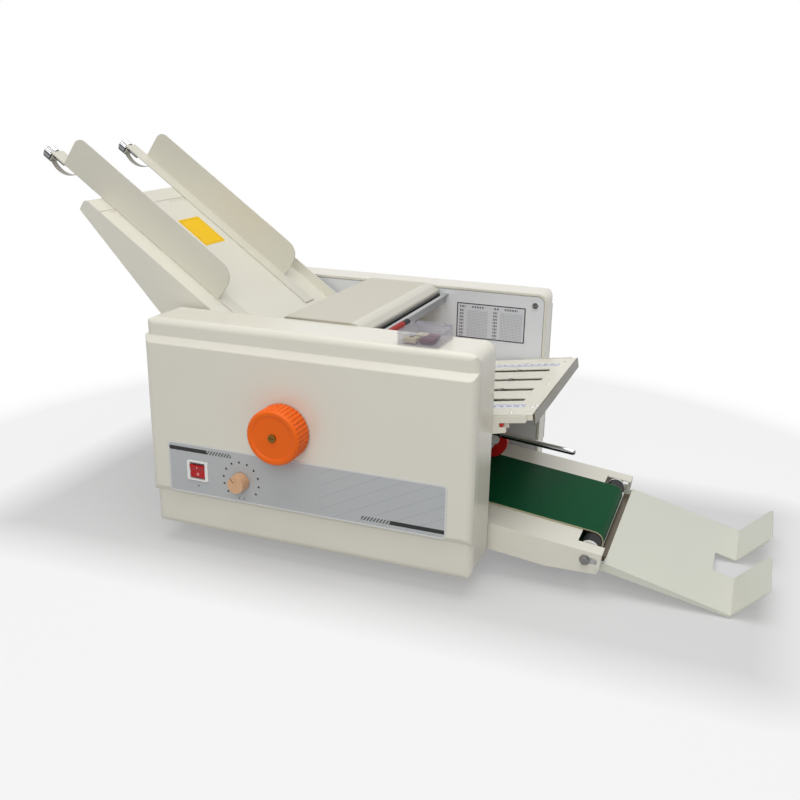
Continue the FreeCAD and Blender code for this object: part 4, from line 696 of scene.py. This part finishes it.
def softSheet(low, high, corner):
    # a thin sheet with rounded corners, from its lowest to its highest corner in millimetres
    work = bmesh.new()
    bmesh.ops.create_cube(work, size=1.0)
    span = (Vector(high) - Vector(low)) / 1000
    bmesh.ops.scale(work, vec=span, verts=work.verts)
    thin = min(range(3), key=lambda axis: span[axis])
    corners = []
    for edge in work.edges:
        start, end = (vert.co[thin] for vert in edge.verts)
        if abs(start - end) > span[thin] / 2:  # it runs through the thickness
            corners.append(edge)
    bmesh.ops.bevel(work, geom=corners, offset=corner / 1000, affect="EDGES",
                    segments=cornerSteps, profile=0.5, material=-1)
    bmesh.ops.translate(work, vec=(Vector(high) + Vector(low)) / 2000, verts=work.verts)
    return work


def layLabel(name, look, axes, material, body):
    work = softSheet(look["low"], look["high"], look["corner"])
    bmesh.ops.transform(work, matrix=axes, verts=work.verts)
    return finishPiece(name, work, material, body)


# printed labels, a quarter of a millimetre thick or less
labelLook = {
    "tone": 0.03,
    "rough": 0.38,
    "edge": 0.0001,
    "edgeWear": 0.0,
    "grainHeight": 0.00001,
    "fixed": {"Specular IOR Level": 0.2},
}
stickerLook = {
    **labelLook,
    "colour": (246, 197, 2),
    "low": (57.5, -4.5, 0.0),
    "high": (103.5, 39.0, 0.25),
    "corner": 1.5,
    "margin": 2.4,
    "line": 0.6,
    "lineColour": (150, 116, 10),
    "lineShare": 0.6,
}
chartLook = {
    **labelLook,
    "colour": (208, 210, 214),
    "low": (67.8, 115.2, 192.5),
    "high": (152.8, 115.45, 235.6),
    "corner": 0.8,
    "margin": 0.0,
    "line": 1.3,
    "lineColour": (56, 56, 60),
    "start": (69.5, 193.0),  # where its blocks and rows are counted from
    "block": 41.8,
    "body": (194.5, 227.5),
    "ink": (64, 66, 76),
    "inkShare": 0.85,
}
chartNames = {"span": (2.0, 7.0), "row": 4.0, "rowInk": 2.5, "step": 2.3, "ink": 1.6}
chartCells = {
    "span": (11.0, 37.5),
    "row": 1.9,
    "rowInk": 0.9,
    "step": 1.7,
    "ink": 1.0,
    "share": 0.62,
}
chartHeads = {
    "spans": ((2.0, 9.0), (16.0, 32.0)),
    "height": (230.0, 232.4),
    "step": 3.1,
    "ink": 2.0,
}
rulerLook = {
    **labelLook,
    "colour": (226, 227, 231),
    "corner": 0.8,
    "fine": 1.6,
    "fineWidth": 0.7,
    "fineSpan": (75.4, 78.6),     # from the fold plate's middle
    "long": 8.0,
    "longWidth": 0.9,
    "longSpan": (75.4, 82.0),
    "blotDown": (1.8, 6.2),       # blots stand for numbers
    "blotSpan": (79.6, 84.8),
    "blotScale": 800.0,
    "blotFrom": 0.42,
    "ink": (104, 114, 150),
    "inkShare": 0.85,
}
rearRuler = {**rulerLook, "low": (40.0, 74.0, 3.0), "high": (164.0, 88.0, 3.15)}
frontRuler = {**rulerLook, "low": (40.0, -88.0, 3.0), "high": (164.0, -74.0, 3.15)}


def frameLine(first, second, look, firstAxis, secondAxis):  # a thin line inside a label's edge
    sides = []
    for distance, axis in ((first, firstAxis), (second, secondAxis)):
        half = (look["high"][axis] - look["low"][axis]) / 2 - look["margin"]
        middle = (look["high"][axis] + look["low"][axis]) / 2
        sides.append(((distance - middle).size(), half))
    (down, halfDown), (across, halfAcross) = sides
    inside = (down < halfDown) * (across < halfAcross)
    return inside * (down > halfDown - look["line"]).either(across > halfAcross - look["line"])


def paintSticker(at, colour, edges):
    down, across, out = onSheet(at, feedAxes)
    line = frameLine(down, across, stickerLook, 0, 1) * stickerLook["lineShare"]
    return {"Base Color": line.choose(colour, rgb(*stickerLook["lineColour"]))}


def paintChart(at, colour, edges):  # rows of plain ticks in two blocks, standing for any table
    across, up = at.layout(lengthways), at.layout(upwards)
    border = frameLine(across, up, chartLook, 0, 2)
    startAcross, startUp = chartLook["start"]
    low, high = chartLook["body"]
    block = (across - startAcross).every(chartLook["block"])
    groups = []
    for look in (chartNames, chartCells):
        rows = (up - startUp).ticks(look["row"], look["rowInk"])
        groups.append(block.within(*look["span"]) * rows * across.ticks(look["step"], look["ink"]))
    body = groups[0].either(groups[1] * chartCells["share"]) * (up < high) * (up > low)
    titles = [block.within(*span) for span in chartHeads["spans"]]
    head = up.within(*chartHeads["height"]) * titles[0].either(titles[1])
    head = head * across.ticks(chartHeads["step"], chartHeads["ink"])
    colour = (body.either(head) * chartLook["inkShare"]).choose(colour, rgb(*chartLook["ink"]))
    return {"Base Color": border.choose(colour, rgb(*chartLook["lineColour"]))}


def paintRuler(at, colour, edges):  # plain ticks, with blots where numbers would be
    down, across, out = onSheet(at, foldAxes)
    across = across.size()
    fine = down.ticks(rulerLook["fine"], rulerLook["fineWidth"])
    fine = fine * across.within(*rulerLook["fineSpan"])
    long = down.ticks(rulerLook["long"], rulerLook["longWidth"])
    long = long * across.within(*rulerLook["longSpan"])
    blots = down.every(rulerLook["long"]).within(*rulerLook["blotDown"])
    blots = blots * across.within(*rulerLook["blotSpan"])
    blots = blots * (at.noise(rulerLook["blotScale"], 0.0) > rulerLook["blotFrom"])
    ink = fine.either(long).either(blots) * rulerLook["inkShare"]
    return {"Base Color": ink.choose(colour, rgb(*rulerLook["ink"]))}


stickerPrint = makeFinish("stickerYellow", stickerLook, paintSticker)
chartPrint = makeFinish("chartPrint", chartLook, paintChart)
rulerPrint = makeFinish("rulerPrint", rulerLook, paintRuler)
layLabel("table_sticker", stickerLook, feedAxes, stickerPrint, "machine")
layLabel("fold_chart", chartLook, Matrix.Translation(layoutStart), chartPrint, "machine")
layLabel("rear_ruler", rearRuler, foldAxes, rulerPrint, "fold_plate_set")
layLabel("front_ruler", frontRuler, foldAxes, rulerPrint, "fold_plate_set")
print("labels finished")

spinSteps = 32
weldReach = 1e-6


def spinOutline(work, look, outline):
    # an outline of places along the machine's depth and radii, spun into a closed turned piece
    middle = place(look["x"], 0, look["z"])
    verts = [work.verts.new(middle + Vector((0, back, radius)) / 1000) for back, radius in outline]
    edges = [work.edges.new(pair) for pair in zip(verts, verts[1:])]
    bmesh.ops.spin(work, geom=verts + edges, cent=middle, axis=backwards, angle=2 * math.pi,
                   steps=spinSteps, use_merge=True)
    bmesh.ops.remove_doubles(work, verts=work.verts, dist=weldReach)


# hinge in the gap between belt and stacker: a rod and a leaf, painted dark brown for the shade in
# that gap; the leaf spans the gap so the painted shade fills it
hingeShadeLook = {
    **metalLook,
    # painted shade: dark brown that stands for the shadow in the gap
    "colour": (84, 72, 52),
    "fixed": {"Metallic": 0.4},
    "x": 293.2,
    "z": 30.4,
    "half": 84.0,
    "radius": 2.2,
    "chamfer": 0.5,
    "leafX": (289.9, 297.8),
    "leafZ": 33.6,
    "leafThick": 0.9,
}


def makeHinge():
    work = bmesh.new()
    half, radius, chamfer = (hingeShadeLook[key] for key in ("half", "radius", "chamfer"))
    ends = [(half, 0.0), (half, radius - chamfer), (half - chamfer, radius)]
    spinOutline(work, hingeShadeLook, [(-back, out) for back, out in ends] + ends[::-1])
    leaf = bmesh.ops.create_cube(work, size=1.0)["verts"]
    low, high = hingeShadeLook["leafX"]
    size = Vector((high - low, 2 * half, hingeShadeLook["leafThick"])) / 1000
    bmesh.ops.scale(work, vec=size, verts=leaf)
    bmesh.ops.translate(work, vec=place((high + low) / 2, 0, hingeShadeLook["leafZ"]), verts=leaf)
    return finishPiece("stacker_hinge", work, hingePaintedShade, "machine")


hingePaintedShade = makeFinish("hingePaintedShade", hingeShadeLook)
makeHinge()

# small roller beside the top cover: bare shaft, red sleeve, black band
nipLook = {
    **rubberLook,
    "colour": (150, 42, 36),
    "bandColour": (32, 32, 33),
    "shaftColour": (168, 168, 168),
    "x": 64.5,
    "z": 247.0,
    "start": -115.5,
    "shaft": 2.0,
    "sleeve": (-112.0, -64.0),
    "radius": 3.7,
    "end": -48.0,
    "bandRadius": 3.4,
    "chamfer": 0.5,
}


def paintNip(at, colour, edges):
    back = at.layout(backwards)
    start, join = nipLook["sleeve"]
    bare = back < start
    colour = (back > join).choose(colour, rgb(*nipLook["bandColour"]))
    return {"Base Color": bare.choose(colour, rgb(*nipLook["shaftColour"])), "Metallic": bare}


def makeNipRoller():
    work = bmesh.new()
    first, end, shaft = nipLook["start"], nipLook["end"], nipLook["shaft"]
    radius, band, chamfer = nipLook["radius"], nipLook["bandRadius"], nipLook["chamfer"]
    start, join = nipLook["sleeve"]
    spinOutline(work, nipLook, [
        (first, 0.0), (first, shaft), (start, shaft), (start, radius - chamfer),
        (start + chamfer, radius), (join, radius), (join, band), (end - chamfer, band),
        (end, band - chamfer), (end, 0.0),
    ])
    return finishPiece("nip_roller", work, nipRubber, "machine")


nipRubber = makeFinish("nipRubber", nipLook, paintNip)
makeNipRoller()
print("hinge and nip roller built")

# floor, sky, lamps and camera
stageLook = {
    "floorSize": 8.0,
    "floorCells": 8,
    "floorColour": (200, 200, 200),
    "tone": 0.01,
    "cloudScale": 5.0,
    "clear": (0.40, 0.75),            # the floor turns plain white between these distances
    "plainShare": 0.8,                # of white beside the object
    "underShare": 0.3,                # of white right under it
    "fade": 6.0,
    "footprint": (0.40, 0.17, 0.0),
}
skyLook = {"seen": 1.0, "light": 0.28}
lampLooks = {
    "overheadSoftbox": {
        "spot": (0.1, -0.3, 1.9),
        "target": (0.0, 0.0, 0.1),
        "size": 1.6,
        "watts": 21.0,
    },
    "frontSoftbox": {
        "spot": (0.5, -2.2, 1.5),
        "target": (0.0, 0.0, 0.15),
        "size": 1.4,
        "watts": 21.0,
    },
}
cameraLook = {
    "spot": (406.4, -972.6, 485.9),  # in the layout
    "side": 20.68,
    "height": 18.33,
    "roll": 0.97,
    "focal": 43.01,
    "sensor": 36.0,
}


def plainlySeen(wire):  # by the camera, or in metal or through glass
    rays = ("Is Camera Ray", "Is Glossy Ray", "Is Transmission Ray")
    camera, glossy, through = (wire.node("LightPath", out=ray) for ray in rays)
    return camera.either(glossy).either(through)


def makeFloor():
    material = bpy.data.materials.new("floorSweep")
    material.use_nodes = True
    material.node_tree.nodes.clear()
    wire = Wire(material.node_tree)
    at = wire.node("TexCoord", out="Object")
    reach = at.vector("LENGTH", out="Value")
    start, end = stageLook["clear"]
    far = wire.node("MapRange", {"interpolation_type": "SMOOTHSTEP"},
                    {"Value": reach, "From Min": start, "From Max": end})
    cloud = at.noise(stageLook["cloudScale"])
    drift = cloud * (2 * stageLook["tone"]) + (1 - stageLook["tone"])
    colour = drift.shade(rgb(*stageLook["floorColour"]))
    diffuse = wire.node("BsdfDiffuse", {}, {"Color": colour})
    white = wire.node("Emission", {}, {"Color": (1, 1, 1, 1), "Strength": 1.0})
    beside = at.vector("ABSOLUTE").vector("SUBTRACT", stageLook["footprint"])
    beside = beside.vector("MAXIMUM", (0.0, 0.0, 0.0)).vector("LENGTH", out="Value")
    near = beside * stageLook["fade"] + stageLook["underShare"]
    near = near.maths("MINIMUM", stageLook["plainShare"])
    share = plainlySeen(wire) * far.either(near)
    surface = wire.node("MixShader", {}, {0: share, 1: diffuse, 2: white})
    wire.node("OutputMaterial", {}, {"Surface": surface})
    work = bmesh.new()
    cells = stageLook["floorCells"]
    bmesh.ops.create_grid(work, x_segments=cells, y_segments=cells, size=stageLook["floorSize"] / 2)
    mesh = bpy.data.meshes.new("floor")
    work.to_mesh(mesh)
    work.free()
    floor = bpy.data.objects.new("floor", mesh)
    bpy.context.scene.collection.objects.link(floor)
    mesh.materials.append(material)


def makeSky():
    world = bpy.data.worlds.new("studio")
    bpy.context.scene.world = world
    world.use_nodes = True
    world.node_tree.nodes.clear()
    wire = Wire(world.node_tree)
    strength = plainlySeen(wire) * (skyLook["seen"] - skyLook["light"]) + skyLook["light"]
    sky = wire.node("Background", {}, {"Color": (1, 1, 1, 1), "Strength": strength})
    wire.node("OutputWorld", {}, {"Surface": sky})


def makeLamps():
    for name, look in lampLooks.items():
        lamp = bpy.data.lights.new(name, "AREA")
        lamp.shape = "SQUARE"
        lamp.size = look["size"]
        lamp.energy = look["watts"]
        holder = bpy.data.objects.new(name, lamp)
        holder.location = look["spot"]
        facing = Vector(look["target"]) - Vector(look["spot"])
        holder.rotation_euler = facing.to_track_quat("-Z", "Y").to_euler()
        bpy.context.scene.collection.objects.link(holder)


def makeCamera():
    side, height, roll = (math.radians(cameraLook[key]) for key in ("side", "height", "roll"))
    back = Vector((
        math.sin(side) * math.cos(height),
        -math.cos(side) * math.cos(height),
        math.sin(height),
    ))
    right = Vector((math.cos(side), math.sin(side), 0.0))
    up = back.cross(right)
    turnedRight = right * math.cos(roll) + up * math.sin(roll)
    turnedUp = up * math.cos(roll) - right * math.sin(roll)
    lens = bpy.data.cameras.new("camera")
    lens.sensor_width = cameraLook["sensor"]
    lens.lens = cameraLook["focal"]
    camera = bpy.data.objects.new("camera", lens)
    camera.matrix_world = Matrix((turnedRight, turnedUp, back)).transposed().to_4x4()
    camera.location = place(*cameraLook["spot"])
    bpy.context.scene.collection.objects.link(camera)
    bpy.context.scene.camera = camera


makeFloor()
makeSky()
makeLamps()
makeCamera()
bpy.context.scene.view_settings.view_transform = "Standard"
print("floor, light and camera ready")
